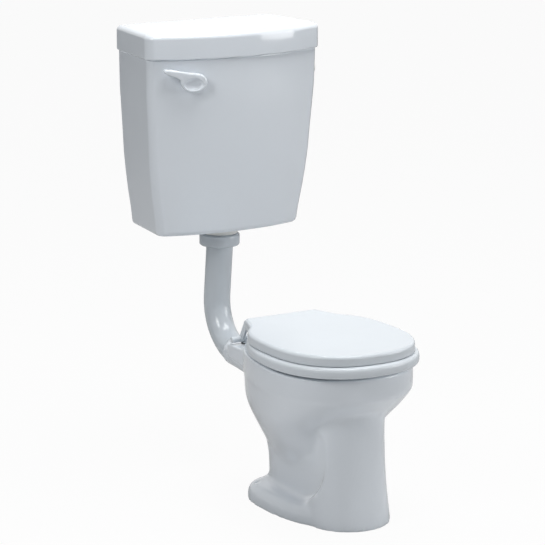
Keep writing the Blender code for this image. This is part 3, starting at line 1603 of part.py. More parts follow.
def make_lift_rod(carrier, under, over):
    """The brass rod, with a collar below and above the piston, and the eye that the lift arm runs through."""
    arm = lift_arm_height() - CISTERN_BOTTOM
    bar = LIFT_EYE_BAR
    top = arm + ARM_RADIUS + RUNNING_GAP
    window_low = top - 2 * ARM_RADIUS - LIFT_EYE_SLACK
    eye_low = window_low - bar
    radius, collar = LIFT_ROD_RADIUS, 1.6 * LIFT_ROD_RADIUS
    profile = [
        (0, eye_low - FIT_GAP),
        (radius, eye_low - FIT_GAP),
        (radius, over + radius),
        (collar, over + radius),
        (collar, over),
        (radius, over),
        (radius, under),
        (collar, under),
        (collar, under - radius),
        (0, under - radius),
    ]
    turned_piece("piston_rod", profile, "brass", siphon_at(LIFT_ROD_X), parent=carrier, steps=SMALL_STEPS)
    half_thick, half_wide = LIFT_EYE_THICKNESS / 2, LIFT_EYE_WIDTH / 2
    middle = siphon_at(LIFT_ROD_X)
    low_corner = middle + Vector((-half_thick, -half_wide, eye_low))
    high_corner = middle + Vector((half_thick, half_wide, top + bar))
    eye = piece("lift_link", box_mesh("lift_link", low_corner, high_corner), "brass", parent=carrier)
    bevel(eye, LIFT_EYE_THICKNESS / 5, 1)
    low_corner = middle + Vector((-LIFT_EYE_THICKNESS, bar - half_wide, window_low))
    high_corner = middle + Vector((LIFT_EYE_THICKNESS, half_wide - bar, top))
    cut(eye, helper("eye_window", box_mesh("eye_window", low_corner, high_corner)))


# Flush lever


def lever_axes():
    """The lever's own axes: right along the wall, up, and out of the wall."""
    out = lever_place()[1]
    return Matrix((Vector((-out.y, out.x, 0)), Vector((0, 0, 1)), out)).transposed()


def face_lever(made, parent=None, offset=0.0):
    """Stands a piece or a helper on the lever's axis, at a distance out of the wall."""
    at, out = lever_place()
    made.rotation_euler = lever_axes().to_euler()
    made.location = at + out * offset
    if parent:
        attach(made, parent)
    return made


def lever_outline():
    """The outline of the lever's face: an oval boss that draws out into a blade."""
    points = [Vector((x * LEVER_REACH, y * LEVER_REACH, 0)) for x, y in LEVER_SHARES]
    return smooth_loop(points, 3)


def smooth_loop(points, steps):
    """A smooth closed curve through the given points."""
    made = []
    count = len(points)
    for i in range(count):
        a, b, c, d = (points[(i + shift - 1) % count] for shift in range(4))
        for k in range(steps):
            t = k / steps
            bend = 2 * b + (c - a) * t + (2 * a - 5 * b + 4 * c - d) * t**2
            made.append((bend + (3 * b - a - 3 * c + d) * t**3) / 2)
    return made


def make_lever(carrier):
    """The flush lever on the front of the cistern, with the spindle on its back."""
    outline = lever_outline()
    edge, front = LEVER_EDGE, LEVER_DEPTH
    section = [(edge / 2, 0), (0, edge / 2), (0, front - edge), (edge / 3, front - edge / 3), (edge, front)]
    rings = [at_height(inset_outline(outline, inset), height) for inset, height in section]
    lever = piece("flush_lever", loft("flush_lever", rings), "lever_plastic")
    stand = BUSH_FLANGE_THICKNESS + LEVER_STAND - FACING_DEPTH
    face_lever(lever, carrier, stand)
    rings = []
    for width, depth in LEVER_DISH_SHARES:
        height = front - LEVER_DISH_DEPTH * depth
        ring = circle(width, (0, 0, 0))
        rings.append([Vector((p.x * LEVER_DISH_WIDTH, p.y * LEVER_DISH_HEIGHT, height)) for p in ring])
    cut(lever, face_lever(helper("lever_dish", loft("lever_dish", rings)), carrier, stand))
    profile = rod_profile(SPINDLE_RADIUS, -stand - arm_hub_foot() - ARM_HUB_LENGTH, front / 3)
    join(lever, face_lever(turn(helper("spindle", turned_mesh("spindle", profile))), carrier, stand))


def arm_hub_foot():
    """How far inside the wall's outer face the lift arm's hub starts."""
    return TANK_WALL - FACING_DEPTH + LEVER_NUT_HEIGHT + BUSH_FLANGE_THICKNESS + 2 * LEVER_STAND


def make_bush():
    """The threaded bush that the spindle turns in, and the nut that holds it to the wall."""
    inner = SPINDLE_RADIUS + RUNNING_GAP
    face = FIT_GAP - FACING_DEPTH
    end = -arm_hub_foot() + LEVER_STAND
    profile = [
        (BUSH_FLANGE, face + BUSH_FLANGE_THICKNESS),
        (BUSH_FLANGE, face),
        (BUSH_RADIUS, face),
        (BUSH_RADIUS, end),
        (inner, end),
        (inner, face + BUSH_FLANGE_THICKNESS),
    ]
    bush = turn(piece("lever_bush", turned_mesh("lever_bush", profile), "fitting_plastic"))
    face_lever(bush)
    nut_face = -TANK_WALL + FACING_DEPTH - FIT_GAP
    profile = rod_profile(LEVER_NUT_RADIUS, nut_face - LEVER_NUT_HEIGHT, nut_face, FIT_GAP * 3)
    nut = turn(piece("lever_nut", turned_mesh("lever_nut", profile), "fitting_plastic"), NUT_SIDES)
    face_lever(nut)
    bore = rod_profile(BUSH_RADIUS + FIT_GAP, nut_face - 2 * LEVER_NUT_HEIGHT, nut_face + OVERRUN)
    cut(nut, face_lever(turn(helper("lever_nut_bore", turned_mesh("lever_nut_bore", bore)))))


def make_lift_arm(carrier):
    """The arm on the spindle's inner end, bent so that its tip runs along X through the piston's eye."""
    at, out = lever_place()
    foot = -arm_hub_foot()
    hub_middle = at + out * (foot - ARM_HUB_LENGTH / 2)
    eye = Vector((LIFT_ROD_X, OUTLET_Y, lift_arm_height()))
    tip = eye + Vector((ARM_PAST_EYE, 0, 0))
    bend = eye - Vector((ARM_STRAIGHT, 0, 0))
    route = rounded_corners([(hub_middle, 0), (bend, 4 * ARM_RADIUS), (tip, 0)], 0, ARC_STEPS)
    arm = piece("lift_arm", tube("lift_arm", route, ARM_RADIUS), "brass", parent=carrier)
    profile = rod_profile(ARM_HUB_RADIUS, foot - ARM_HUB_LENGTH, foot, FIT_GAP)
    hub = turn(helper("arm_hub", turned_mesh("arm_hub", profile)))
    join(arm, face_lever(hub, carrier), solver="MANIFOLD")
    profile = rod_profile(SPINDLE_RADIUS + FIT_GAP, foot - 2 * ARM_HUB_LENGTH, foot + OVERRUN)
    bore = turn(helper("arm_bore", turned_mesh("arm_bore", profile)))
    cut(arm, face_lever(bore, carrier), solver="MANIFOLD")
    screw_at = hub_middle + Vector((0, 0, SPINDLE_RADIUS + 2 * FIT_GAP))
    hole = rod_profile(SET_SCREW_RADIUS + FIT_GAP, -SPINDLE_RADIUS, 2 * ARM_HUB_RADIUS)
    cut(arm, turned_helper("set_screw_hole", hole, screw_at, steps=SMALL_STEPS), solver="MANIFOLD")
    head = ARM_HUB_RADIUS - SPINDLE_RADIUS + SET_SCREW_RADIUS / 4
    profile = [
        (0, head + SET_SCREW_HEAD / 2),
        (SET_SCREW_HEAD, head + SET_SCREW_HEAD / 2),
        (SET_SCREW_HEAD, head),
        (SET_SCREW_RADIUS, head),
        (SET_SCREW_RADIUS, 0),
        (0, 0),
    ]
    turned_piece("lift_arm_screw", profile, "brass", screw_at, parent=carrier, steps=SMALL_STEPS)


# Float valve


def valve_back():
    """Where the valve's body ends inside the cistern."""
    return valve_place().x - VALVE_BODY_LENGTH


def pivot_place():
    """The middle of the float arm's pivot pin."""
    return valve_axis() + Vector((valve_back() - PIVOT_BACK, 0, -PIVOT_DROP))


def valve_axis():
    """A point on the valve's axis, on the toilet's plane of symmetry."""
    return Vector((0, VALVE_Y, tank_top() - VALVE_DROP))


def make_float_valve():
    """The inlet valve through the right wall, with its washer and backnut."""
    wall = valve_place()
    flange_face = wall.x - TANK_WALL + FACING_DEPTH - VALVE_WASHER - 2 * FIT_GAP
    end = wall.x + VALVE_SHANK_OUT
    back = valve_back()
    edge = 2 * FIT_GAP
    profile = [
        (0, end),
        (VALVE_SHANK_RADIUS - edge, end),
        (VALVE_SHANK_RADIUS, end - edge),
        (VALVE_SHANK_RADIUS, flange_face),
        (VALVE_FLANGE_RADIUS, flange_face),
        (VALVE_FLANGE_RADIUS, flange_face - VALVE_FLANGE),
        (VALVE_BODY_RADIUS, flange_face - VALVE_FLANGE - edge),
        (VALVE_BODY_RADIUS, back + edge),
        (VALVE_BODY_RADIUS - edge, back),
        (0, back),
    ]
    at = valve_axis()
    body = turned_piece("float_valve_body", profile, "fitting_plastic", at, (1, 0, 0))
    for side in (-1, 1):
        near, far = sorted((side * YOKE_GAP / 2, side * (YOKE_GAP / 2 + YOKE_THICKNESS)))
        low = at + Vector((back - YOKE_LENGTH, near, -PIVOT_DROP - YOKE_FOOT))
        high = at + Vector((back + YOKE_THICKNESS, far, YOKE_FOOT))
        cheek = helper(f"valve_cheek_{side + 2}", box_mesh(f"valve_cheek_{side + 2}", low, high))
        bevel(cheek, YOKE_THICKNESS / 4, 1)
        join(body, cheek, solver="MANIFOLD")
    seat = plunger_back() + PLUNGER_LENGTH + RUNNING_GAP
    room = rod_profile(PLUNGER_RADIUS + RUNNING_GAP, back - YOKE_THICKNESS / 2, seat)
    nozzle = rod_profile(VALVE_NOZZLE, seat - FIT_GAP, seat + VALVE_BORE)
    bore = rod_profile(VALVE_BORE, seat + VALVE_BORE - FIT_GAP, end + OVERRUN)
    spout = rod_profile(VALVE_BORE, 0, VALVE_BODY_RADIUS)
    socket = rod_profile(FILL_TUBE_RADIUS + FIT_GAP, fill_tube_start() - FIT_GAP, 2 * VALVE_BODY_RADIUS)
    pin_hole = rod_profile(PIVOT_PIN_RADIUS + FIT_GAP, -YOKE_GAP, YOKE_GAP)
    cut(
        body,
        turned_helper("plunger_room", room, at, (1, 0, 0)),
        turned_helper("nozzle", nozzle, at, (1, 0, 0), SMALL_STEPS),
        turned_helper("inlet_bore", bore, at, (1, 0, 0)),
        turned_helper("spout_bore", spout, spout_place(), (0, 1, 0), SMALL_STEPS),
        turned_helper("fill_tube_socket", socket, spout_place(), (0, 1, 0)),
        turned_helper("pivot_hole", pin_hole, pivot_place(), (0, 1, 0), SMALL_STEPS),
        solver="MANIFOLD",
    )
    face = flange_face + FIT_GAP
    washer = ring_profile(VALVE_FLANGE_RADIUS, VALVE_SHANK_RADIUS + FIT_GAP, face, face + VALVE_WASHER)
    turned_piece("inlet_washer", washer, "rubber", at, (1, 0, 0))
    face = wall.x - FACING_DEPTH + FIT_GAP
    bore_radius = VALVE_SHANK_RADIUS + FIT_GAP
    profile = rod_profile(VALVE_NUT_RADIUS, face, face + VALVE_NUT_HEIGHT, 3 * FIT_GAP)
    nut = turned_piece("inlet_backnut", profile, "fitting_plastic", at, (1, 0, 0), steps=NUT_SIDES)
    bore = rod_profile(bore_radius, face - OVERRUN, face + 2 * VALVE_NUT_HEIGHT)
    cut(nut, turned_helper("inlet_nut_bore", bore, at, (1, 0, 0)))


def plunger_back():
    """Where the plunger's body ends on the float's side, with the valve shut."""
    return valve_back() + PLUNGER_TRAVEL


def spout_place():
    """Where the way to the fill tube leaves the valve's axis."""
    return valve_axis() + Vector((plunger_back() + PLUNGER_LENGTH / 2, 0, 0))


def fill_tube_start():
    """How far from the valve's axis the fill tube starts, in its socket."""
    return VALVE_BODY_RADIUS - VALVE_BORE


def make_fill_tube():
    """The tube that leads the water down to the bottom of the cistern quietly."""
    start = spout_place() + Vector((0, fill_tube_start(), 0))
    corner = spout_place() + Vector((0, FILL_TUBE_Y, 0))
    end = Vector((corner.x, corner.y, CISTERN_BOTTOM + FILL_TUBE_BOTTOM))
    route = rounded_corners([(start, 0), (corner, 1.6 * FILL_TUBE_RADIUS), (end, 0)], 0, ARC_STEPS)
    fill = piece("fill_tube", tube("fill_tube", route, FILL_TUBE_RADIUS), "fitting_plastic")
    inner = [start - Vector((0, OVERRUN, 0))] + route + [end - Vector((0, 0, OVERRUN))]
    cut(fill, helper("fill_tube_bore", tube("fill_tube_bore", inner, FILL_TUBE_RADIUS - FILL_TUBE_WALL)))


def make_plunger(carrier):
    """The plunger that shuts the valve, pushed by the float arm's finger."""
    at = valve_axis()
    back = plunger_back()
    edge = FIT_GAP
    profile = [
        (0, back + PLUNGER_LENGTH),
        (PLUNGER_RADIUS - edge, back + PLUNGER_LENGTH),
        (PLUNGER_RADIUS, back + PLUNGER_LENGTH - edge),
        (PLUNGER_RADIUS, back),
        (PLUNGER_NOSE, back),
        (PLUNGER_NOSE, finger_face() + FIT_GAP),
        (0, finger_face() + FIT_GAP),
    ]
    turned_piece("valve_plunger", profile, "brass", at, (1, 0, 0), carrier, SMALL_STEPS)


def finger_face():
    """Where the float arm's finger touches the plunger."""
    return pivot_place().x + FINGER_THICKNESS / 2


def make_float(carrier):
    """The float arm with its finger, and the float on the arm's end."""
    pivot_at = pivot_place()
    ball_at = Vector((-FLOAT_X, FLOAT_Y, tank_top() - FLOAT_DROP - FLOAT_RADIUS - 2 * FLOAT_RADIUS))
    dip = (pivot_at.z - ball_at.z) * FLOAT_DIP_SHARE
    bend_x = pivot_at.x - FLOAT_BEND_BACK
    corners = [
        (pivot_at, 0),
        (Vector((bend_x, VALVE_Y, pivot_at.z)), FLOAT_BEND),
        (Vector((bend_x - 2 * FLOAT_BEND, FLOAT_ARM_Y, pivot_at.z - dip)), FLOAT_BEND),
        (Vector((-FLOAT_NEAR_X, FLOAT_ARM_Y, ball_at.z + dip)), FLOAT_BEND),
        (ball_at, 0),
    ]
    toward = (ball_at - corners[-2][0]).normalized()
    end = ball_at - toward * (FLOAT_RADIUS - FLOAT_SOCKET)
    corners[-1] = (end, 0)
    route = rounded_corners(corners, 0, ARC_STEPS)
    arm = piece("float_arm", tube("float_arm", route, FLOAT_ARM_RADIUS), "brass", parent=carrier)
    half = YOKE_GAP / 2 - RUNNING_GAP
    hub = turned_helper("float_hub", rod_profile(FLOAT_HUB_RADIUS, -half, half), pivot_at, (0, 1, 0))
    thick = FINGER_THICKNESS / 2
    low = pivot_at + Vector((-thick, -FINGER_WIDTH / 2, 0))
    high = pivot_at + Vector((thick, FINGER_WIDTH / 2, PIVOT_DROP + 2 * PLUNGER_NOSE))
    join(arm, hub, helper("arm_finger", box_mesh("arm_finger", low, high)))
    bore = rod_profile(PIVOT_PIN_RADIUS + RUNNING_GAP, -YOKE_GAP, YOKE_GAP)
    cut(arm, turned_helper("arm_pivot_bore", bore, pivot_at, (0, 1, 0), SMALL_STEPS))
    profile = []
    for k in range(FLOAT_STEPS + 1):
        turned = math.pi * k / FLOAT_STEPS
        radius = FLOAT_RADIUS * math.sin(turned) if 0 < k < FLOAT_STEPS else 0
        profile.append((radius, FLOAT_RADIUS * math.cos(turned)))
    ball = turned_piece("float", profile, "float_plastic", ball_at, -toward, carrier)
    hole = rod_profile(FLOAT_ARM_RADIUS + FIT_GAP, FLOAT_RADIUS - FLOAT_SOCKET - FIT_GAP, 2 * FLOAT_RADIUS)
    cut(ball, turned_helper("float_socket", hole, ball_at, -toward, SMALL_STEPS))
    reach = YOKE_GAP / 2 + YOKE_THICKNESS + FIT_GAP
    pin = [
        (0, reach + PIVOT_PIN_RADIUS),
        (1.7 * PIVOT_PIN_RADIUS, reach + PIVOT_PIN_RADIUS),
        (1.7 * PIVOT_PIN_RADIUS, reach),
        (PIVOT_PIN_RADIUS, reach),
        (PIVOT_PIN_RADIUS, -reach - PIVOT_PIN_RADIUS),
        (0, -reach - PIVOT_PIN_RADIUS),
    ]
    turned_piece("float_arm_pin", pin, "brass", pivot_at, (0, -1, 0), steps=SMALL_STEPS)


def build():
    """Makes every part of the toilet."""
    make_pan()
    make_flush_pipe()
    make_cone_seal()
    make_outlet_nuts()
    make_hinge()
    seat_carrier = pivot("seat_carrier", hinge_axis())
    make_seat(seat_carrier)
    make_seat_buffers(seat_carrier)
    lid_carrier = pivot("seat_lid_carrier", hinge_axis())
    attach(lid_carrier, seat_carrier)
    make_seat_lid(lid_carrier)
    make_lid_buffers(lid_carrier)
    make_tank()
    make_cistern_lid(pivot("cistern_lid_carrier", (0, OUTLET_Y, tank_top())))
    make_siphon()
    make_piston(pivot("piston_carrier", siphon_at(LIFT_ROD_X)))
    make_bush()
    lever_carrier = pivot("lever_carrier", lever_place()[0])
    make_lever(lever_carrier)
    make_lift_arm(lever_carrier)
    make_float_valve()
    make_fill_tube()
    make_plunger(pivot("plunger_carrier", valve_axis()))
    make_float(pivot("float_carrier", pivot_place()))


build()
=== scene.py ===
"""A children's toilet of white china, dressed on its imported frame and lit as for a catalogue."""

import json
import math

import bmesh
import bpy
from mathutils import Matrix, Vector


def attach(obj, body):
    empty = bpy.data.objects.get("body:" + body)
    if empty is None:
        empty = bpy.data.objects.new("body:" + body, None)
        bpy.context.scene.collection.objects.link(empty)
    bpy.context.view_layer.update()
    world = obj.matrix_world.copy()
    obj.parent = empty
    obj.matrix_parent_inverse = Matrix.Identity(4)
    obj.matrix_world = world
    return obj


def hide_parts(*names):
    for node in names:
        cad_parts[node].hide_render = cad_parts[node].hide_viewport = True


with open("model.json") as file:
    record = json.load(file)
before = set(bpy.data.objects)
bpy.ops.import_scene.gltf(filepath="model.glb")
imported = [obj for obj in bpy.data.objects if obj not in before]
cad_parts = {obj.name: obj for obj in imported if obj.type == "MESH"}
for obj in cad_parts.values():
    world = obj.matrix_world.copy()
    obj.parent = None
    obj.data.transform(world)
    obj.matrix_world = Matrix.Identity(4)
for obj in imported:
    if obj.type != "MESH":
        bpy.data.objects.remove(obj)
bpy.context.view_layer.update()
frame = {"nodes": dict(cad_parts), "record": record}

# Sizes in metres, as the frame has them
MERGE = 0.00001
NEAR = 0.0001
OVERRUN = 0.002
UNDER_FLOOR = -0.030
RIM_HEIGHT = 0.300
ROD_SIDES = 16
# A corner of a circle of radius one is found by its place, to this
ON_CIRCLE = 0.02
OVAL_POINTS = 24
# Subdividing draws a ring of so many corners in to this share of its size
OVAL_SHRINK_SHARE = (2 + math.cos(math.tau / OVAL_POINTS)) / 3

# How square each oval is, in front of its widest place and behind it: 2 is an ellipse
BODY_POWERS = (2.3, 2.0)
COLUMN_POWERS = (2.0, 2.0)
PEDESTAL_POWERS = (4.0, 2.5)
FOOT_POWERS = (2.2, 4.5)
SEAT_POWERS = (2.36, 2.05)
LID_POWERS = (2.36, 2.9)

# Pan: each row is height, half width, front, back and widest place
BODY_ROWS = [
    (UNDER_FLOOR, 0.0600, -0.2379, 0.0069, -0.1180),
    (0.0000, 0.0600, -0.2379, 0.0069, -0.1180),
    (0.0720, 0.0600, -0.2379, 0.0119, -0.1180),
    (0.0939, 0.0640, -0.2379, 0.0150, -0.1180),
    (0.1161, 0.0755, -0.2379, 0.0240, -0.1180),
    (0.1389, 0.0905, -0.2379, 0.0345, -0.1281),
    (0.1665, 0.1074, -0.2379, 0.0469, -0.1378),
    (0.1920, 0.1234, -0.2552, 0.0560, -0.1479),
    (0.2100, 0.1307, -0.2789, 0.0600, -0.1580),
    (0.2280, 0.1344, -0.2991, 0.0600, -0.1681),
    (0.2400, 0.1368, -0.3123, 0.0590, -0.1731),
    (0.2500, 0.1388, -0.3225, 0.0590, -0.1782),
    (0.2545, 0.1412, -0.3262, 0.0600, -0.1782),
    (0.2600, 0.1422, -0.3272, 0.0600, -0.1782),
    (0.3000, 0.1418, -0.3268, 0.0600, -0.1782),
    (0.3200, 0.1418, -0.3268, 0.0600, -0.1782),
]
PEDESTAL_ROWS = [
    (UNDER_FLOOR, 0.0630, -0.2600, 0.0069, -0.1180),
    (0.0000, 0.0630, -0.2600, 0.0069, -0.1180),
    (0.0720, 0.0625, -0.2600, 0.0119, -0.1180),
    (0.0939, 0.0640, -0.2600, 0.0139, -0.1180),
    (0.1161, 0.0690, -0.2600, 0.0200, -0.1180),
    (0.1389, 0.0740, -0.2600, 0.0260, -0.1180),
]
FOOT_ROWS = [
    (UNDER_FLOOR, 0.1075, -0.2830, 0.0070, -0.1180),
    (0.0000, 0.1075, -0.2830, 0.0070, -0.1180),
    (0.0160, 0.1075, -0.2830, 0.0070, -0.1180),
    (0.0240, 0.1060, -0.2815, 0.0055, -0.1180),
    (0.0305, 0.1015, -0.2770, 0.0010, -0.1180),
    (0.0345, 0.0945, -0.2700, -0.0060, -0.1180),
    (0.0355, 0.0860, -0.2610, -0.0150, -0.1180),
]
BOWL_ROWS = [
    (0.3200, 0.1060, -0.2910, -0.0300, -0.1782),
    (0.3010, 0.1075, -0.2925, -0.0285, -0.1782),
    (0.2975, 0.1045, -0.2895, -0.0315, -0.1782),
    (0.2930, 0.1030, -0.2880, -0.0330, -0.1782),
    (0.2660, 0.1030, -0.2880, -0.0330, -0.1782),
    (0.2610, 0.1045, -0.2895, -0.0315, -0.1782),
    (0.2370, 0.1152, -0.2781, -0.0231, -0.1641),
    (0.2199, 0.1071, -0.2561, -0.0330, -0.1641),
    (0.2001, 0.0989, -0.2413, -0.0585, -0.1641),
    (0.1701, 0.0828, -0.2345, -0.0891, -0.1682),
    (0.1401, 0.0626, -0.2293, -0.1172, -0.1758),
    (0.1101, 0.0444, -0.2217, -0.1376, -0.1796),
    (0.0849, 0.0303, -0.2115, -0.1477, -0.1809),
    (0.0750, 0.0181, -0.2013, -0.1554, -0.1796),
]
BOWL_SHELL_END = (0.0640, 0.0220, -0.2060, -0.1510, -0.1796)
# The front column: each row is height, radius and middle
COLUMN_ROWS = [
    (UNDER_FLOOR, 0.0826, -0.2310),
    (0.0000, 0.0826, -0.2310),
    (0.0669, 0.0750, -0.2280),
    (0.1251, 0.0747, -0.2230),
    (0.1830, 0.0758, -0.2180),
    (0.2151, 0.0788, -0.2130),
    (0.2400, 0.0760, -0.2029),
]

# Walls of the pan, and how high its hollows and the bowl's own shell reach
CHINA = 0.010
FOOT_WALL = 0.014
FOOT_HOLLOW_TOP = 0.020
PEDESTAL_HOLLOW_TOP = 0.120
COLUMN_HOLLOW_TOP = 0.130
BOWL_SHELL_TOP = 0.210

# The recess in each side of the pan, which leans outwards above its top in steps of rise and lean
RECESS_WALL = 0.0630
RECESS_OUTSIDE = 0.150
RECESS_FRONT = -0.2600
RECESS_BACK = 0.050
RECESS_FLOOR = 0.0355
RECESS_TOP = 0.150
RECESS_CORNER = 0.092
RECESS_CORNER_FACES = 12
RECESS_LEANS = [(0.020, 0.0015), (0.032, 0.0125)]

# Trap and water way run in the middle plane: each point is depth and height
TRAP_PATH = [
    (-0.190, 0.112), (-0.164, 0.098), (-0.151, 0.094), (-0.137, 0.094), (-0.123, 0.098), (-0.112, 0.106),
    (-0.053, 0.166), (-0.044, 0.172), (-0.034, 0.175), (-0.023, 0.175), (-0.013, 0.171), (-0.005, 0.163),
    (0.000, 0.154), (0.002, 0.143), (0.002, 0.130), (0.000, 0.119), (-0.021, 0.038), (-0.022, 0.028),
    (-0.022, -0.006),
]
TRAP_OUTER_RADIUS = 0.028
TRAP_BORE_RADIUS = 0.020
WATER_WAY = [(0.200, 0.2343), (0.045, 0.2207), (-0.005, 0.2470), (-0.011, 0.2630)]
WATER_WAY_RADIUS = 0.0135

# Horn: each row is distance from its root and radius
HORN_ROOT = Vector((0.0, 0.045, 0.2207))
HORN_WAY = Vector((0.0, 0.9962, 0.0872))
HORN_SIDES = 48
HORN_ROWS = [
    (-0.0340, 0.0340), (0.0000, 0.0340), (0.0350, 0.0300), (0.0800, 0.0288),
    (0.1150, 0.0285), (0.1515, 0.0294), (0.1532, 0.0288), (0.1536, 0.0275),
]
HORN_CUP_ROWS = [(0.1316, 0.0258), (0.1600, 0.0258)]

# Deck and hinge
HINGE_X = 0.0668
HINGE_Y = 0.037
HINGE_Z = 0.303
DECK_TOP = 0.2935
DECK_UNDERSIDE = 0.253
DECK_RISE = 0.0145
DECK_HALF_WIDTH = 0.100
DECK_HALF_DEPTH = 0.060
DECK_CORNER = 0.011
DECK_CORNER_FACES = 6
DECK_OVER_POCKET = 0.012

# Holes: each is length and radius
NUT_POCKET = (0.030, 0.0164)
BOLT_HOLE = (0.018, 0.0055)
SCREW_HOLE = (0.040, 0.004)
SCREW_X = 0.085
SCREW_Y = -0.036

# How finely the china is run together, and how much it is smoothed
FIRST_VOXEL = 0.0040
LAST_VOXEL = 0.0029
MEETING_LOW = 0.020
MEETING_HIGH = 0.250
MEETING_ROUNDS = 14
EVEN_ROUNDS = 4
SMOOTH_FACTOR = 0.5

# Seat and lid: each row is height, half width, front, back and widest place
SEAT_ROWS = [
    (0.3052, 0.1430, -0.3370, 0.0180, -0.1780),
    (0.3066, 0.1478, -0.3418, 0.0228, -0.1780),
    (0.3110, 0.1492, -0.3432, 0.0242, -0.1780),
    (0.3190, 0.1492, -0.3432, 0.0242, -0.1780),
    (0.3245, 0.1474, -0.3414, 0.0224, -0.1780),
    (0.3270, 0.1430, -0.3370, 0.0180, -0.1780),
    (0.3276, 0.1330, -0.3270, 0.0080, -0.1780),
    (0.3276, 0.1130, -0.3070, -0.0310, -0.1780),
    (0.3255, 0.1010, -0.2950, -0.0430, -0.1780),
    (0.3200, 0.0970, -0.2910, -0.0470, -0.1780),
    (0.3100, 0.0970, -0.2910, -0.0470, -0.1780),
    (0.3060, 0.0995, -0.2935, -0.0445, -0.1780),
    (0.3052, 0.1100, -0.3040, -0.0340, -0.1780),
    (0.3052, 0.1430, -0.3370, 0.0180, -0.1780),
]
LID_ROW = (0.3285, 0.1408, -0.3333, -0.0120, -0.1780)
LID_POINTS = 72
LID_THICKNESS = 0.019
LID_WALL = 0.0035
LID_EDGE = 0.0065
LID_EDGE_FACES = 5
TAB_HALF_WIDTH = 0.0795
TAB_BACK = 0.022
TAB_CORNER = 0.006
TAB_CORNER_FACES = 4
SHOULDER_HALF_WIDTH = 0.098

# Hinge lugs: each is distance from the middle, width, and reach away from the rod in depth and height
LUG_RADIUS = 0.0062
LUG_SIDES = 20
LUG_EDGE = 0.0008
LUG_EDGE_FACES = 2
LUG_EDGE_ANGLE = math.radians(50)
SEAT_LUG = (0.0532, 0.014, (-0.026, 0.0120))
LID_LUG = (0.0764, 0.006, (-0.019, 0.0345))

# Hinge caps: each row is distance from the cap's own inner or outer end, and radius
CAP_START = 0.0798
CAP_REACH = 0.1000
CAP_SIDES = 28
CAP_INNER_ROWS = [(0.0000, 0.0052), (0.0008, 0.0060)]
CAP_OUTER_ROWS = [(-0.0020, 0.0060), (-0.0006, 0.0054), (0.0000, 0.0042)]

# Edges sharper than this many degrees stay sharp in the shading
CHINA_ANGLE = 60.0
SEAT_ANGLE = 50.0
LID_ANGLE = 35.0
FITTING_ANGLE = 42.0

# Colours, their unevenness, and the floor and sky
WHITE = (1, 1, 1, 1)
CHINA_WHITE = (0.785, 0.830, 0.880)
SEAT_WHITE = (0.71, 0.755, 0.795)
PIPE_WHITE = (0.64, 0.69, 0.735)
FITTING_WHITE = (0.84, 0.84, 0.81)
FLOAT_DARK = (0.05, 0.07, 0.10)
RUBBER_BLACK = (0.03, 0.03, 0.032)
DRAWN_BRASS = (0.78, 0.58, 0.28)
BRIGHT_STEEL = (0.70, 0.71, 0.72)
CLOUD_SHADE = (0.78, 0.80, 0.82, 1)
CLOUD_SCALE = 6.0
CLOUD_DETAIL = 3.0
CLOUD_LOW = 0.3
CLOUD_HIGH = 0.7
GRAIN_DETAIL = 2.0
WAVE_DETAIL = 1.0
FLOOR_SIZE = 80.0
FLOOR_TOP = -0.0005
FLOOR_GREY = (0.66, 0.66, 0.66, 1)
FLOOR_ROUGHNESS = 0.9
FLOOR_WHITE_SHARE = 0.95
SKY_BLUE = (0.86, 0.93, 1.0, 1)
SKY_STRENGTH = 0.07

# Lamps: each is name, place, what it shines at, width and height, and watts
LAMPS = [
    ("overhead", (0.3, -0.2, 3.3), (0, 0.1, 0.4), (2.0, 2.0), 80.0),
    ("right_front", (2.8, -2.2, 1.3), (0, 0, 0.45), (1.6, 1.8), 38.0),
    ("left_high", (-2.4, -0.8, 2.2), (0, 0.1, 0.5), (1.2, 1.2), 31.0),
]

# The camera, as fitted to the photo's outlines
CAMERA_TURN = math.radians(-30.59)
CAMERA_RISE = math.radians(13.062)
CAMERA_ROLL = math.radians(-0.229)
CAMERA_AIM = Vector((0, 0.182, 0.4))
CAMERA_TO_RIGHT = 0.067
CAMERA_DOWN = 0.003
CAMERA_DISTANCE = 5.404
FOCAL_LENGTH_PIXELS = 2715.8
PHOTO_WIDTH_PIXELS = 545
SENSOR_WIDTH = 36.0
NEAREST_SEEN = 0.1
FARTHEST_SEEN = 50.0


def clear_selection():
    """Leaves edit mode and deselects everything."""
    if bpy.context.object and bpy.context.object.mode != "OBJECT":
        bpy.ops.object.mode_set(mode="OBJECT")
    bpy.ops.object.select_all(action="DESELECT")


def take(made):
    """Selects one object alone and makes it the active one."""
    clear_selection()
    made.select_set(True)
    bpy.context.view_layer.objects.active = made
    return made


def finish_with(made, kind, **settings):
    """Adds a modifier and applies it."""
    take(made)
    step = made.modifiers.new(kind.lower(), kind)
    for name, value in settings.items():
        setattr(step, name, value)
    bpy.ops.object.modifier_apply(modifier=step.name)
    return made


def fuse(target, others, operation="UNION"):
    """Joins or cuts one solid with others, which are then thrown away."""
    for other in others:
        finish_with(target, "BOOLEAN", object=other, operation=operation, solver="MANIFOLD")
        bpy.data.objects.remove(other)
    return target


def pick(test, among=None):
    """Selects corners of the edited mesh by their place."""
    shape = bmesh.from_edit_mesh(bpy.context.object.data)
    shape.verts.ensure_lookup_table()
    shape.select_mode = {"VERT"}
    for vert in shape.verts:
        vert.select = (among is None or vert.index in among) and test(vert.co)
    shape.select_flush_mode()
    bmesh.update_edit_mesh(bpy.context.object.data)


def picked():
    """The numbers of the selected corners of the edited mesh."""
    shape = bmesh.from_edit_mesh(bpy.context.object.data)
    return {vert.index for vert in shape.verts if vert.select}


def extrude(way):
    """Extrudes what is selected in the edited mesh."""
    bpy.ops.mesh.extrude_region_move(TRANSFORM_OT_translate={"value": way})


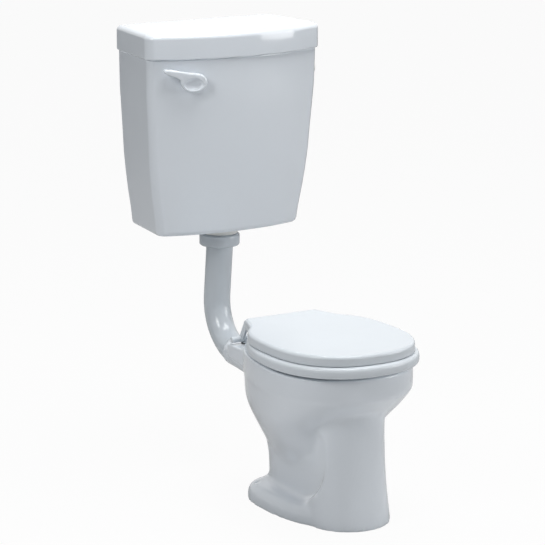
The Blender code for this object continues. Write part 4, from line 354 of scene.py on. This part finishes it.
def close_edit():
    """Turns all faces of the edited mesh outwards and leaves edit mode."""
    bpy.ops.mesh.select_all(action="SELECT")
    bpy.ops.mesh.normals_make_consistent(inside=False)
    bpy.ops.object.mode_set(mode="OBJECT")


def start_ring(name, count, at, turned=(0.0, 0.0, 0.0), filled=True):
    """A circle of radius one, open in edit mode with all its corners selected."""
    clear_selection()
    bpy.ops.mesh.primitive_circle_add(
        vertices=count, radius=1.0, fill_type="NGON" if filled else "NOTHING", location=at, rotation=turned
    )
    made = bpy.context.object
    made.name = name
    made.data.name = name
    bpy.ops.object.transform_apply(location=True, rotation=True, scale=True)
    bpy.ops.object.mode_set(mode="EDIT")
    bpy.ops.mesh.select_mode(type="VERT")
    bpy.ops.mesh.select_all(action="SELECT")
    return made


def start_block(low, high):
    """A block between two corners, open in edit mode."""
    clear_selection()
    bpy.ops.mesh.primitive_cube_add(size=1.0, location=(low + high) / 2, scale=high - low)
    bpy.ops.object.transform_apply(location=True, rotation=True, scale=True)
    bpy.ops.object.mode_set(mode="EDIT")
    return bpy.context.object


def fill_out(widest, powers, count=OVAL_POINTS):
    """Makes the selected unit circle squarer, by one power in front of its middle and another behind."""
    ring = picked()
    front_power, back_power = powers
    for number in range(1, count // 4):
        angle = math.tau * number / count
        across, along = math.cos(angle), math.sin(angle)
        for side, power in ((-1, front_power), (1, back_power)):
            grow = (across**power + along**power) ** (-1 / power)
            corner = (across, side * along)
            pick(lambda co: math.dist((abs(co.x), co.y - widest), corner) < ON_CIRCLE, ring)
            bpy.ops.transform.resize(value=(grow, grow, 1), center_override=(0, widest, 0))
    pick(lambda co: True, ring)


def circle_row(height, widest):
    """The row of the circle of radius one that an oval is drawn from."""
    return (height, 1.0, widest - 1.0, widest + 1.0, widest)


def shape_oval(row, last, swell=1.0):
    """Gives the selected ring its own width and its own reach in front of and behind its widest place."""
    ring = picked()
    height, half, front, back, widest = row
    last_half, last_front, last_back, last_widest = last[1:]
    middle = (0, widest, height)
    across = half / last_half * swell
    ahead = (widest - front) / (last_widest - last_front) * swell
    behind = (back - widest) / (last_back - last_widest) * swell
    bpy.ops.transform.resize(value=(across, 1, 1), center_override=middle)
    pick(lambda co: co.y < widest - MERGE, ring)
    bpy.ops.transform.resize(value=(1, ahead, 1), center_override=middle)
    pick(lambda co: co.y > widest + MERGE, ring)
    bpy.ops.transform.resize(value=(1, behind, 1), center_override=middle)
    pick(lambda co: True, ring)


def oval_loft(name, rows, powers=BODY_POWERS, ring=False):
    """Extrudes an oval from row to row and subdivides it. A ring ends on its own first row."""
    height, widest = rows[0][0], rows[0][-1]
    made = start_ring(name, OVAL_POINTS, (0, widest, height), filled=not ring)
    fill_out(widest, powers)
    shape_oval(rows[0], circle_row(height, widest), 1 / OVAL_SHRINK_SHARE)
    for last, row in zip(rows, rows[1:]):
        extrude((0, row[-1] - last[-1], row[0] - last[0]))
        shape_oval(row, last)
    if ring:
        bpy.ops.mesh.select_all(action="SELECT")
        bpy.ops.mesh.remove_doubles(threshold=MERGE)
    close_edit()
    return finish_with(made, "SUBSURF", levels=2, render_levels=2)


def turned_solid(name, start, way, rows, count=32):
    """A round solid extruded along a direction. A row is distance and radius."""
    way = Vector(way).normalized()
    start = Vector(start)
    turned = way.to_track_quat("Z", "Y").to_euler()
    distance, radius = rows[0]
    made = start_ring(name, count, start + way * distance, turned)
    bpy.ops.transform.resize(value=(radius, radius, radius), center_override=start + way * distance)
    for (last_distance, last_radius), (distance, radius) in zip(rows, rows[1:]):
        extrude(way * (distance - last_distance))
        grow = radius / last_radius
        bpy.ops.transform.resize(value=(grow, grow, grow), center_override=start + way * distance)
    close_edit()
    return made


def bent_rod(name, path, radius):
    """A rod of one thickness in the middle plane, through points of depth and height, with closed ends."""
    clear_selection()
    bpy.ops.curve.primitive_bezier_curve_add()
    made = bpy.context.object
    made.name = name
    line = made.data
    line.splines.clear()
    run = line.splines.new("POLY")
    run.points.add(len(path) - 1)
    for spot, (depth, height) in zip(run.points, path):
        spot.co = (0.0, depth, height, 1.0)
    line.bevel_depth = radius
    line.bevel_resolution = ROD_SIDES // 2 - 2
    line.use_fill_caps = True
    bpy.ops.object.convert(target="MESH")
    bpy.ops.object.mode_set(mode="EDIT")
    bpy.ops.mesh.select_all(action="SELECT")
    bpy.ops.mesh.remove_doubles(threshold=MERGE)
    close_edit()
    return made


def join(name, pieces):
    """Makes one object of several."""
    clear_selection()
    for piece in pieces:
        piece.select_set(True)
    bpy.context.view_layer.objects.active = pieces[0]
    bpy.ops.object.join()
    pieces[0].name = name
    return pieces[0]


def trim(made, at, normal):
    """Cuts a solid off flat on the side that a normal points to, and closes it."""
    take(made)
    bpy.ops.object.mode_set(mode="EDIT")
    bpy.ops.mesh.select_all(action="SELECT")
    bpy.ops.mesh.bisect(plane_co=at, plane_no=normal, clear_outer=True, use_fill=True)
    bpy.ops.object.mode_set(mode="OBJECT")
    return made


def soften(made, rounds, test=None):
    """Smooths a mesh, all over or where a test on the place says so."""
    settings = {"factor": SMOOTH_FACTOR, "iterations": rounds}
    if test:
        group = made.vertex_groups.new(name="soft")
        group.add([vert.index for vert in made.data.vertices if test(vert.co)], 1.0, "REPLACE")
        settings["vertex_group"] = group.name
    finish_with(made, "SMOOTH", **settings)
    made.vertex_groups.clear()
    return made


def merged_copy(node, name):
    """A CAD node's form as a piece of its own, with its corners merged."""
    made = frame["nodes"][node].copy()
    made.data = made.data.copy()
    made.name = name
    made.data.name = name
    for key in list(made.keys()):
        del made[key]
    made.parent = None
    made.matrix_world = Matrix.Identity(4)
    bpy.context.scene.collection.objects.link(made)
    take(made)
    bpy.ops.object.mode_set(mode="EDIT")
    bpy.ops.mesh.select_all(action="SELECT")
    bpy.ops.mesh.remove_doubles(threshold=MERGE)
    bpy.ops.object.mode_set(mode="OBJECT")
    return made


def round_shading(made, degrees):
    """Shades round faces as round, with the broad faces kept flat to the eye."""
    take(made)
    bpy.ops.object.shade_smooth_by_angle(angle=math.radians(degrees))
    finish_with(made, "WEIGHTED_NORMAL", keep_sharp=True)
    return made


def stand_for(made, body, slot, *nodes):
    """Puts a piece on its body, in place of CAD nodes, with its slot's finish."""
    made.data.materials.clear()
    made.data.materials.append(FINISHES[slot])
    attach(made, body)
    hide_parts(*nodes)
    return made


# Finishes


SURFACE_SOCKETS = [
    ("Colour", "INPUT", "NodeSocketColor"),
    ("Low roughness", "INPUT", "NodeSocketFloat"),
    ("High roughness", "INPUT", "NodeSocketFloat"),
    ("Colour", "OUTPUT", "NodeSocketColor"),
    ("Roughness", "OUTPUT", "NodeSocketFloat"),
    ("Normal", "OUTPUT", "NodeSocketVector"),
]


def noise(group, place, scale, detail):
    """A noise over the piece's own place."""
    made = group.nodes.new("ShaderNodeTexNoise")
    made.inputs["Scale"].default_value = scale
    made.inputs["Detail"].default_value = detail
    group.links.new(place.outputs["Object"], made.inputs["Vector"])
    return made


def relief(group, place, detail, scale, height):
    """A noise as heights in the surface."""
    made = group.nodes.new("ShaderNodeBump")
    made.inputs["Distance"].default_value = height
    made.inputs["Strength"].default_value = 1.0
    group.links.new(noise(group, place, scale, detail).outputs["Fac"], made.inputs["Height"])
    return made


def surface_group(name, unevenness, grain, wave):
    """A shader group: uneven colour and roughness, with a grain and a wave, each as scale and height."""
    group = bpy.data.node_groups.new(name, "ShaderNodeTree")
    for socket, way, kind in SURFACE_SOCKETS:
        group.interface.new_socket(name=socket, in_out=way, socket_type=kind)
    nodes, links = group.nodes, group.links
    given = nodes.new("NodeGroupInput")
    out = nodes.new("NodeGroupOutput")
    place = nodes.new("ShaderNodeTexCoord")
    cloud = noise(group, place, CLOUD_SCALE, CLOUD_DETAIL)
    shade = nodes.new("ShaderNodeValToRGB")
    shade.color_ramp.elements[0].color = CLOUD_SHADE
    shade.color_ramp.elements[1].color = WHITE
    links.new(cloud.outputs["Fac"], shade.inputs["Fac"])
    tint = nodes.new("ShaderNodeMix")
    tint.data_type = "RGBA"
    tint.blend_type = "MULTIPLY"
    tint.inputs["Factor"].default_value = unevenness
    links.new(given.outputs["Colour"], tint.inputs["A"])
    links.new(shade.outputs["Color"], tint.inputs["B"])
    links.new(tint.outputs["Result"], out.inputs["Colour"])
    rough = nodes.new("ShaderNodeMapRange")
    rough.inputs["From Min"].default_value = CLOUD_LOW
    rough.inputs["From Max"].default_value = CLOUD_HIGH
    links.new(cloud.outputs["Fac"], rough.inputs["Value"])
    links.new(given.outputs["Low roughness"], rough.inputs["To Min"])
    links.new(given.outputs["High roughness"], rough.inputs["To Max"])
    links.new(rough.outputs["Result"], out.inputs["Roughness"])
    broad = relief(group, place, WAVE_DETAIL, *wave)
    fine = relief(group, place, GRAIN_DETAIL, *grain)
    links.new(broad.outputs["Normal"], fine.inputs["Normal"])
    links.new(fine.outputs["Normal"], out.inputs["Normal"])
    return group


def finish(name, group, colour, roughness, **settings):
    """One finish: a group feeds the colour, roughness and normal of a Principled shader."""
    made = bpy.data.materials.new(name)
    made.use_nodes = True
    nodes, links = made.node_tree.nodes, made.node_tree.links
    shader = nodes["Principled BSDF"]
    surface = nodes.new("ShaderNodeGroup")
    surface.node_tree = group
    surface.inputs["Colour"].default_value = (*colour, 1.0)
    low, high = roughness
    surface.inputs["Low roughness"].default_value = low
    surface.inputs["High roughness"].default_value = high
    links.new(surface.outputs["Colour"], shader.inputs["Base Color"])
    links.new(surface.outputs["Roughness"], shader.inputs["Roughness"])
    links.new(surface.outputs["Normal"], shader.inputs["Normal"])
    for key, value in settings.items():
        shader.inputs[key.replace("_", " ")].default_value = value
    made.diffuse_color = (*colour, 1.0)
    return made


glaze = surface_group("glaze", unevenness=0.08, grain=(160.0, 0.00001), wave=(14.0, 0.0004))
moulding = surface_group("moulding", unevenness=0.10, grain=(900.0, 0.00002), wave=(12.0, 0.0002))
drawn_metal = surface_group("drawn_metal", unevenness=0.30, grain=(700.0, 0.00002), wave=(60.0, 0.0001))

FINISHES = {
    "china": finish(
        "china", glaze, CHINA_WHITE, (0.06, 0.12), IOR=1.52, Coat_Weight=0.4, Coat_Roughness=0.03
    ),
    "seat_plastic": finish("seat_plastic", moulding, SEAT_WHITE, (0.16, 0.24), Specular_IOR_Level=0.25),
    "pipe_plastic": finish("pipe_plastic", moulding, PIPE_WHITE, (0.14, 0.22), IOR=1.56),
    "lever_plastic": finish("lever_plastic", moulding, CHINA_WHITE, (0.10, 0.18)),
    "fitting_plastic": finish("fitting_plastic", moulding, FITTING_WHITE, (0.32, 0.42)),
    "float_plastic": finish("float_plastic", moulding, FLOAT_DARK, (0.38, 0.50)),
    "rubber": finish("rubber", moulding, RUBBER_BLACK, (0.65, 0.85)),
    "brass": finish("brass", drawn_metal, DRAWN_BRASS, (0.22, 0.38), Metallic=1.0),
    "steel": finish("steel", drawn_metal, BRIGHT_STEEL, (0.18, 0.30), Metallic=1.0),
}


# Pan


def rows_up_to(rows, top):
    return [row for row in rows if row[0] <= top]


def inset_rows(rows, inset, top):
    """The rows of an oval solid up to a height, drawn in by a wall, or out where the inset is negative."""
    kept = rows_up_to(rows, top)
    return [(z, half - inset, front + inset, back - inset, widest) for z, half, front, back, widest in kept]


def side_recess(side, wall, floor):
    """A block that flattens one side of the column. Its lower front corner is round, its top leans out."""
    low, high = Vector((wall, RECESS_FRONT, floor)), Vector((RECESS_OUTSIDE, RECESS_BACK, RECESS_TOP))
    middle = (low + high) / 2
    block = start_block(low, high)
    pick(lambda co: co.y < middle.y and co.z < middle.z)
    bpy.ops.mesh.bevel(offset=RECESS_CORNER, segments=RECESS_CORNER_FACES, affect="EDGES")
    for rise, lean in RECESS_LEANS:
        top = max(vert.co.z for vert in bmesh.from_edit_mesh(block.data).verts)
        pick(lambda co: co.z > top - NEAR)
        extrude((0, 0, rise))
        pick(lambda co: co.z > top + NEAR and co.x < middle.x)
        bpy.ops.transform.translate(value=(lean, 0, 0))
    bpy.ops.mesh.select_all(action="SELECT")
    bpy.ops.transform.resize(value=(side, 1, 1), center_override=(0, 0, 0))
    close_edit()
    return block


def front_column(name, rows, inset):
    """The front column, drawn in by a wall and flattened where the recesses in the pan's sides are."""
    recesses = [side_recess(side, RECESS_WALL - inset, RECESS_FLOOR - inset) for side in (-1, 1)]
    ovals = [(z, radius - inset, y - radius + inset, y + radius - inset, y) for z, radius, y in rows]
    return fuse(oval_loft(name, ovals, COLUMN_POWERS), recesses, "DIFFERENCE")


def outer_china():
    """The pan's outside: body, front column and foot run together, with soft hollows where they meet."""
    parts = [
        front_column("column", COLUMN_ROWS, 0.0),
        oval_loft("body", BODY_ROWS),
        oval_loft("pedestal", PEDESTAL_ROWS, PEDESTAL_POWERS),
        oval_loft("foot", FOOT_ROWS, FOOT_POWERS),
    ]
    china = join("pan_china", parts)
    finish_with(china, "REMESH", mode="VOXEL", voxel_size=FIRST_VOXEL)
    soften(china, MEETING_ROUNDS, lambda co: MEETING_LOW < co.z < MEETING_HIGH)
    soften(china, EVEN_ROUNDS)
    trim(china, (0, 0, RIM_HEIGHT), (0, 0, 1))
    return china


def foot_hollows():
    """The hollows of the column, pedestal and foot, open to the floor."""
    pedestal_rows = inset_rows(PEDESTAL_ROWS, CHINA, PEDESTAL_HOLLOW_TOP)
    column_rows = rows_up_to(COLUMN_ROWS, COLUMN_HOLLOW_TOP)
    foot_rows = inset_rows(FOOT_ROWS, FOOT_WALL, FOOT_HOLLOW_TOP)
    return [
        oval_loft("pedestal_hollow", pedestal_rows, PEDESTAL_POWERS),
        front_column("column_hollow", column_rows, CHINA),
        oval_loft("foot_hollow", foot_rows, FOOT_POWERS),
    ]


def deck_block():
    """The squared back of the pan that carries the hinge. Its underside rises towards the back."""
    low = Vector((-DECK_HALF_WIDTH, -DECK_HALF_DEPTH, DECK_UNDERSIDE))
    high = Vector((DECK_HALF_WIDTH, DECK_HALF_DEPTH, DECK_TOP))
    middle = (low + high) / 2
    deck = start_block(low, high)
    pick(lambda co: co.y > middle.y and co.z < middle.z)
    bpy.ops.transform.translate(value=(0, 0, DECK_RISE))
    pick(lambda co: co.y > middle.y)
    bpy.ops.mesh.bevel(offset=DECK_CORNER, segments=DECK_CORNER_FACES, affect="EDGES")
    bpy.ops.object.mode_set(mode="OBJECT")
    return deck


def pan_shells():
    """What stands in or on the hollow china: the bowl's lower wall, the trap, the horn and the deck."""
    shell_rows = inset_rows(BOWL_ROWS, -CHINA, BOWL_SHELL_TOP)
    return [
        oval_loft("bowl_shell", [*shell_rows, BOWL_SHELL_END]),
        bent_rod("trap_shell", TRAP_PATH, TRAP_OUTER_RADIUS),
        turned_solid("horn", HORN_ROOT, HORN_WAY, HORN_ROWS, HORN_SIDES),
        deck_block(),
    ]


def hole(name, at, way, length, radius):
    return turned_solid(name, at, way, [(0.0, radius), (length, radius)])


def pan_spaces():
    """What the china leaves free: bowl, trap, the horn's cup and water way, bolt holes and screw holes."""
    spaces = [
        oval_loft("bowl_space", BOWL_ROWS),
        bent_rod("trap_space", TRAP_PATH, TRAP_BORE_RADIUS),
        turned_solid("horn_cup", HORN_ROOT, HORN_WAY, HORN_CUP_ROWS, HORN_SIDES),
        bent_rod("water_way", WATER_WAY, WATER_WAY_RADIUS),
    ]
    for side in (-1, 1):
        under_deck = Vector((side * HINGE_X, HINGE_Y, DECK_TOP - DECK_OVER_POCKET))
        spaces.append(hole("nut_pocket", under_deck, (0, 0, -1), *NUT_POCKET))
        spaces.append(hole("bolt_hole", under_deck - Vector((0, 0, OVERRUN)), (0, 0, 1), *BOLT_HOLE))
        spaces.append(hole("screw_hole", (side * SCREW_X, SCREW_Y, -OVERRUN), (0, 0, 1), *SCREW_HOLE))
    return spaces


def make_pan():
    china = outer_china()
    fuse(china, foot_hollows(), "DIFFERENCE")
    fuse(china, pan_shells())
    fuse(china, pan_spaces(), "DIFFERENCE")
    trim(china, (0, 0, 0), (0, 0, -1))
    finish_with(china, "REMESH", mode="VOXEL", voxel_size=LAST_VOXEL)
    soften(china, EVEN_ROUNDS)
    round_shading(china, CHINA_ANGLE)
    return stand_for(china, "toilet", "china", "pan")


# Seat and lid


def hinge_lug(name, side, distance, width, reach):
    """A lug with two round ends, one on the hinge rod and one a reach away inside the seat or the lid."""
    inner = (side * distance - width / 2, HINGE_Y, HINGE_Z)
    made = start_ring(name, LUG_SIDES, inner, (0, math.pi / 2, 0))
    bpy.ops.transform.resize(value=(1, LUG_RADIUS, LUG_RADIUS), center_override=inner)
    ring = picked()
    way = Vector((0, *reach))
    rod = Vector((0, HINGE_Y, HINGE_Z))
    pick(lambda co: (Vector((0, co.y, co.z)) - rod).dot(way) > 0, ring)
    bpy.ops.transform.translate(value=way)
    pick(lambda co: True, ring)
    extrude((width, 0, 0))
    close_edit()
    edge = {"width": LUG_EDGE, "segments": LUG_EDGE_FACES}
    return finish_with(made, "BEVEL", **edge, limit_method="ANGLE", angle_limit=LUG_EDGE_ANGLE)


def make_seat():
    """The seat: a rounded ring with its two lugs."""
    ring = oval_loft("seat_ring", SEAT_ROWS, SEAT_POWERS, ring=True)
    lugs = [hinge_lug("seat_lug", side, *SEAT_LUG) for side in (-1, 1)]
    seat = round_shading(join("seat_moulding", [ring, *lugs]), SEAT_ANGLE)
    return stand_for(seat, "seat", "seat_plastic", "seat")


def draw_tab(ring):
    """Draws the oval's back out into a tab over the hinge, with straight sides that run into the oval."""
    widest = LID_ROW[-1]
    shape = bmesh.from_edit_mesh(bpy.context.object.data)
    behind = [abs(vert.co.x) for vert in shape.verts if vert.co.y > widest]
    corner = max(x for x in behind if x < SHOULDER_HALF_WIDTH)
    pick(lambda co: co.y > widest and abs(co.x) < SHOULDER_HALF_WIDTH, ring)
    bpy.ops.transform.resize(value=(TAB_HALF_WIDTH / corner, 0, 1), center_override=(0, TAB_BACK, 0))


def make_lid():
    """The lid: a shell with a rounded upper edge, hollow below, with its two lugs."""
    height, widest = LID_ROW[0], LID_ROW[-1]
    lid = start_ring("lid_shell", LID_POINTS, (0, widest, height))
    fill_out(widest, LID_POWERS, LID_POINTS)
    shape_oval(LID_ROW, circle_row(height, widest))
    draw_tab(picked())
    bpy.ops.mesh.select_all(action="SELECT")
    extrude((0, 0, LID_THICKNESS))
    pick(lambda co: co.y > TAB_BACK - NEAR and abs(co.x) > TAB_HALF_WIDTH - NEAR)
    bpy.ops.mesh.bevel(offset=TAB_CORNER, segments=TAB_CORNER_FACES, affect="EDGES")
    pick(lambda co: co.z > height + LID_THICKNESS - NEAR)
    bpy.ops.mesh.region_to_loop()
    bpy.ops.mesh.bevel(offset=LID_EDGE, segments=LID_EDGE_FACES, affect="EDGES")
    pick(lambda co: co.z < height + NEAR)
    bpy.ops.mesh.inset(thickness=LID_WALL)
    extrude((0, 0, LID_THICKNESS - LID_WALL))
    close_edit()
    lugs = [hinge_lug("lid_lug", side, *LID_LUG) for side in (-1, 1)]
    lid = round_shading(join("lid_moulding", [lid, *lugs]), LID_ANGLE)
    return stand_for(lid, "seat_lid", "seat_plastic", "seat_lid")


def make_hinge_caps():
    """A long round cap on each end of the hinge rod, outside the lid's lugs."""
    length = CAP_REACH - CAP_START
    rows = CAP_INNER_ROWS + [(length + distance, radius) for distance, radius in CAP_OUTER_ROWS]
    for side, node in ((-1, "hinge_cap_left"), (1, "hinge_cap_right")):
        start = (side * CAP_START, HINGE_Y, HINGE_Z)
        cap = turned_solid(node + "_long", start, (side, 0, 0), rows, CAP_SIDES)
        round_shading(cap, SEAT_ANGLE)
        stand_for(cap, "toilet", "seat_plastic", node)


def make_smooth_pieces():
    """Every other CAD piece, with its corners merged and its round faces shaded as round."""
    made_anew = ("pan", "seat", "seat_lid", "hinge_cap_left", "hinge_cap_right")
    slots = {row["node"]: row["material_slot"] for row in frame["record"]["subparts"]}
    for body, nodes in frame["record"]["behaviour"]["bodies"].items():
        for node in nodes:
            if node in made_anew:
                continue
            made = round_shading(merged_copy(node, node + "_skin"), FITTING_ANGLE)
            stand_for(made, body, slots[node], node)


# Floor, light and camera


def make_floor():
    """A wide grey floor that the camera sees as nearly white."""
    clear_selection()
    bpy.ops.mesh.primitive_plane_add(size=FLOOR_SIZE, location=(0, 0, FLOOR_TOP))
    floor = bpy.context.object
    floor.name = "floor"
    floor_white = bpy.data.materials.new("floor_white")
    floor_white.use_nodes = True
    nodes, links = floor_white.node_tree.nodes, floor_white.node_tree.links
    shader = nodes["Principled BSDF"]
    shader.inputs["Base Color"].default_value = FLOOR_GREY
    shader.inputs["Roughness"].default_value = FLOOR_ROUGHNESS
    white = nodes.new("ShaderNodeEmission")
    white.inputs["Color"].default_value = WHITE
    white.inputs["Strength"].default_value = 1.0
    path = nodes.new("ShaderNodeLightPath")
    share = nodes.new("ShaderNodeMath")
    share.operation = "MULTIPLY"
    share.inputs[1].default_value = FLOOR_WHITE_SHARE
    links.new(path.outputs["Is Camera Ray"], share.inputs[0])
    mix = nodes.new("ShaderNodeMixShader")
    links.new(share.outputs["Value"], mix.inputs["Fac"])
    links.new(shader.outputs["BSDF"], mix.inputs[1])
    links.new(white.outputs["Emission"], mix.inputs[2])
    links.new(mix.outputs["Shader"], nodes["Material Output"].inputs["Surface"])
    floor.data.materials.append(floor_white)


def make_world():
    """A white surrounding for the camera and for reflections, and a faint blue one for the light."""
    world = bpy.data.worlds.new("studio")
    bpy.context.scene.world = world
    world.use_nodes = True
    nodes, links = world.node_tree.nodes, world.node_tree.links
    sky = nodes["Background"]
    sky.inputs["Color"].default_value = SKY_BLUE
    sky.inputs["Strength"].default_value = SKY_STRENGTH
    white = nodes.new("ShaderNodeBackground")
    white.inputs["Color"].default_value = WHITE
    white.inputs["Strength"].default_value = 1.0
    path = nodes.new("ShaderNodeLightPath")
    seen = path.outputs["Is Camera Ray"]
    for ray in ("Is Transmission Ray", "Is Glossy Ray"):
        either = nodes.new("ShaderNodeMath")
        either.operation = "MAXIMUM"
        links.new(seen, either.inputs[0])
        links.new(path.outputs[ray], either.inputs[1])
        seen = either.outputs["Value"]
    mix = nodes.new("ShaderNodeMixShader")
    links.new(seen, mix.inputs["Fac"])
    links.new(sky.outputs["Background"], mix.inputs[1])
    links.new(white.outputs["Background"], mix.inputs[2])
    links.new(mix.outputs["Shader"], nodes["World Output"].inputs["Surface"])


def make_lamp(name, at, aim_at, size, power):
    """A square or upright lamp that shines at a place."""
    clear_selection()
    turned = (Vector(aim_at) - Vector(at)).to_track_quat("-Z", "Y").to_euler()
    bpy.ops.object.light_add(type="AREA", location=at, rotation=turned)
    made = bpy.context.object
    made.name = name
    made.data.shape = "RECTANGLE"
    made.data.size, made.data.size_y = size
    made.data.energy = power


def make_camera():
    """The camera that was fitted to the photo."""
    level = math.cos(CAMERA_RISE)
    back = Vector((math.sin(CAMERA_TURN) * level, -math.cos(CAMERA_TURN) * level, math.sin(CAMERA_RISE)))
    right = Vector((math.cos(CAMERA_TURN), math.sin(CAMERA_TURN), 0))
    up = back.cross(right)
    target = CAMERA_AIM + right * CAMERA_TO_RIGHT - up * CAMERA_DOWN
    across = right * math.cos(CAMERA_ROLL) - up * math.sin(CAMERA_ROLL)
    upward = right * math.sin(CAMERA_ROLL) + up * math.cos(CAMERA_ROLL)
    clear_selection()
    turned = Matrix((across, upward, back)).transposed().to_euler()
    bpy.ops.object.camera_add(location=target + back * CAMERA_DISTANCE, rotation=turned)
    camera = bpy.context.object
    camera.data.sensor_width = SENSOR_WIDTH
    camera.data.lens = FOCAL_LENGTH_PIXELS / PHOTO_WIDTH_PIXELS * SENSOR_WIDTH
    camera.data.clip_start = NEAREST_SEEN
    camera.data.clip_end = FARTHEST_SEEN
    bpy.context.scene.camera = camera


make_pan()
make_seat()
make_lid()
make_hinge_caps()
make_smooth_pieces()
make_floor()
make_world()
for lamp in LAMPS:
    make_lamp(*lamp)
make_camera()
bpy.context.scene.view_settings.view_transform = "Standard"
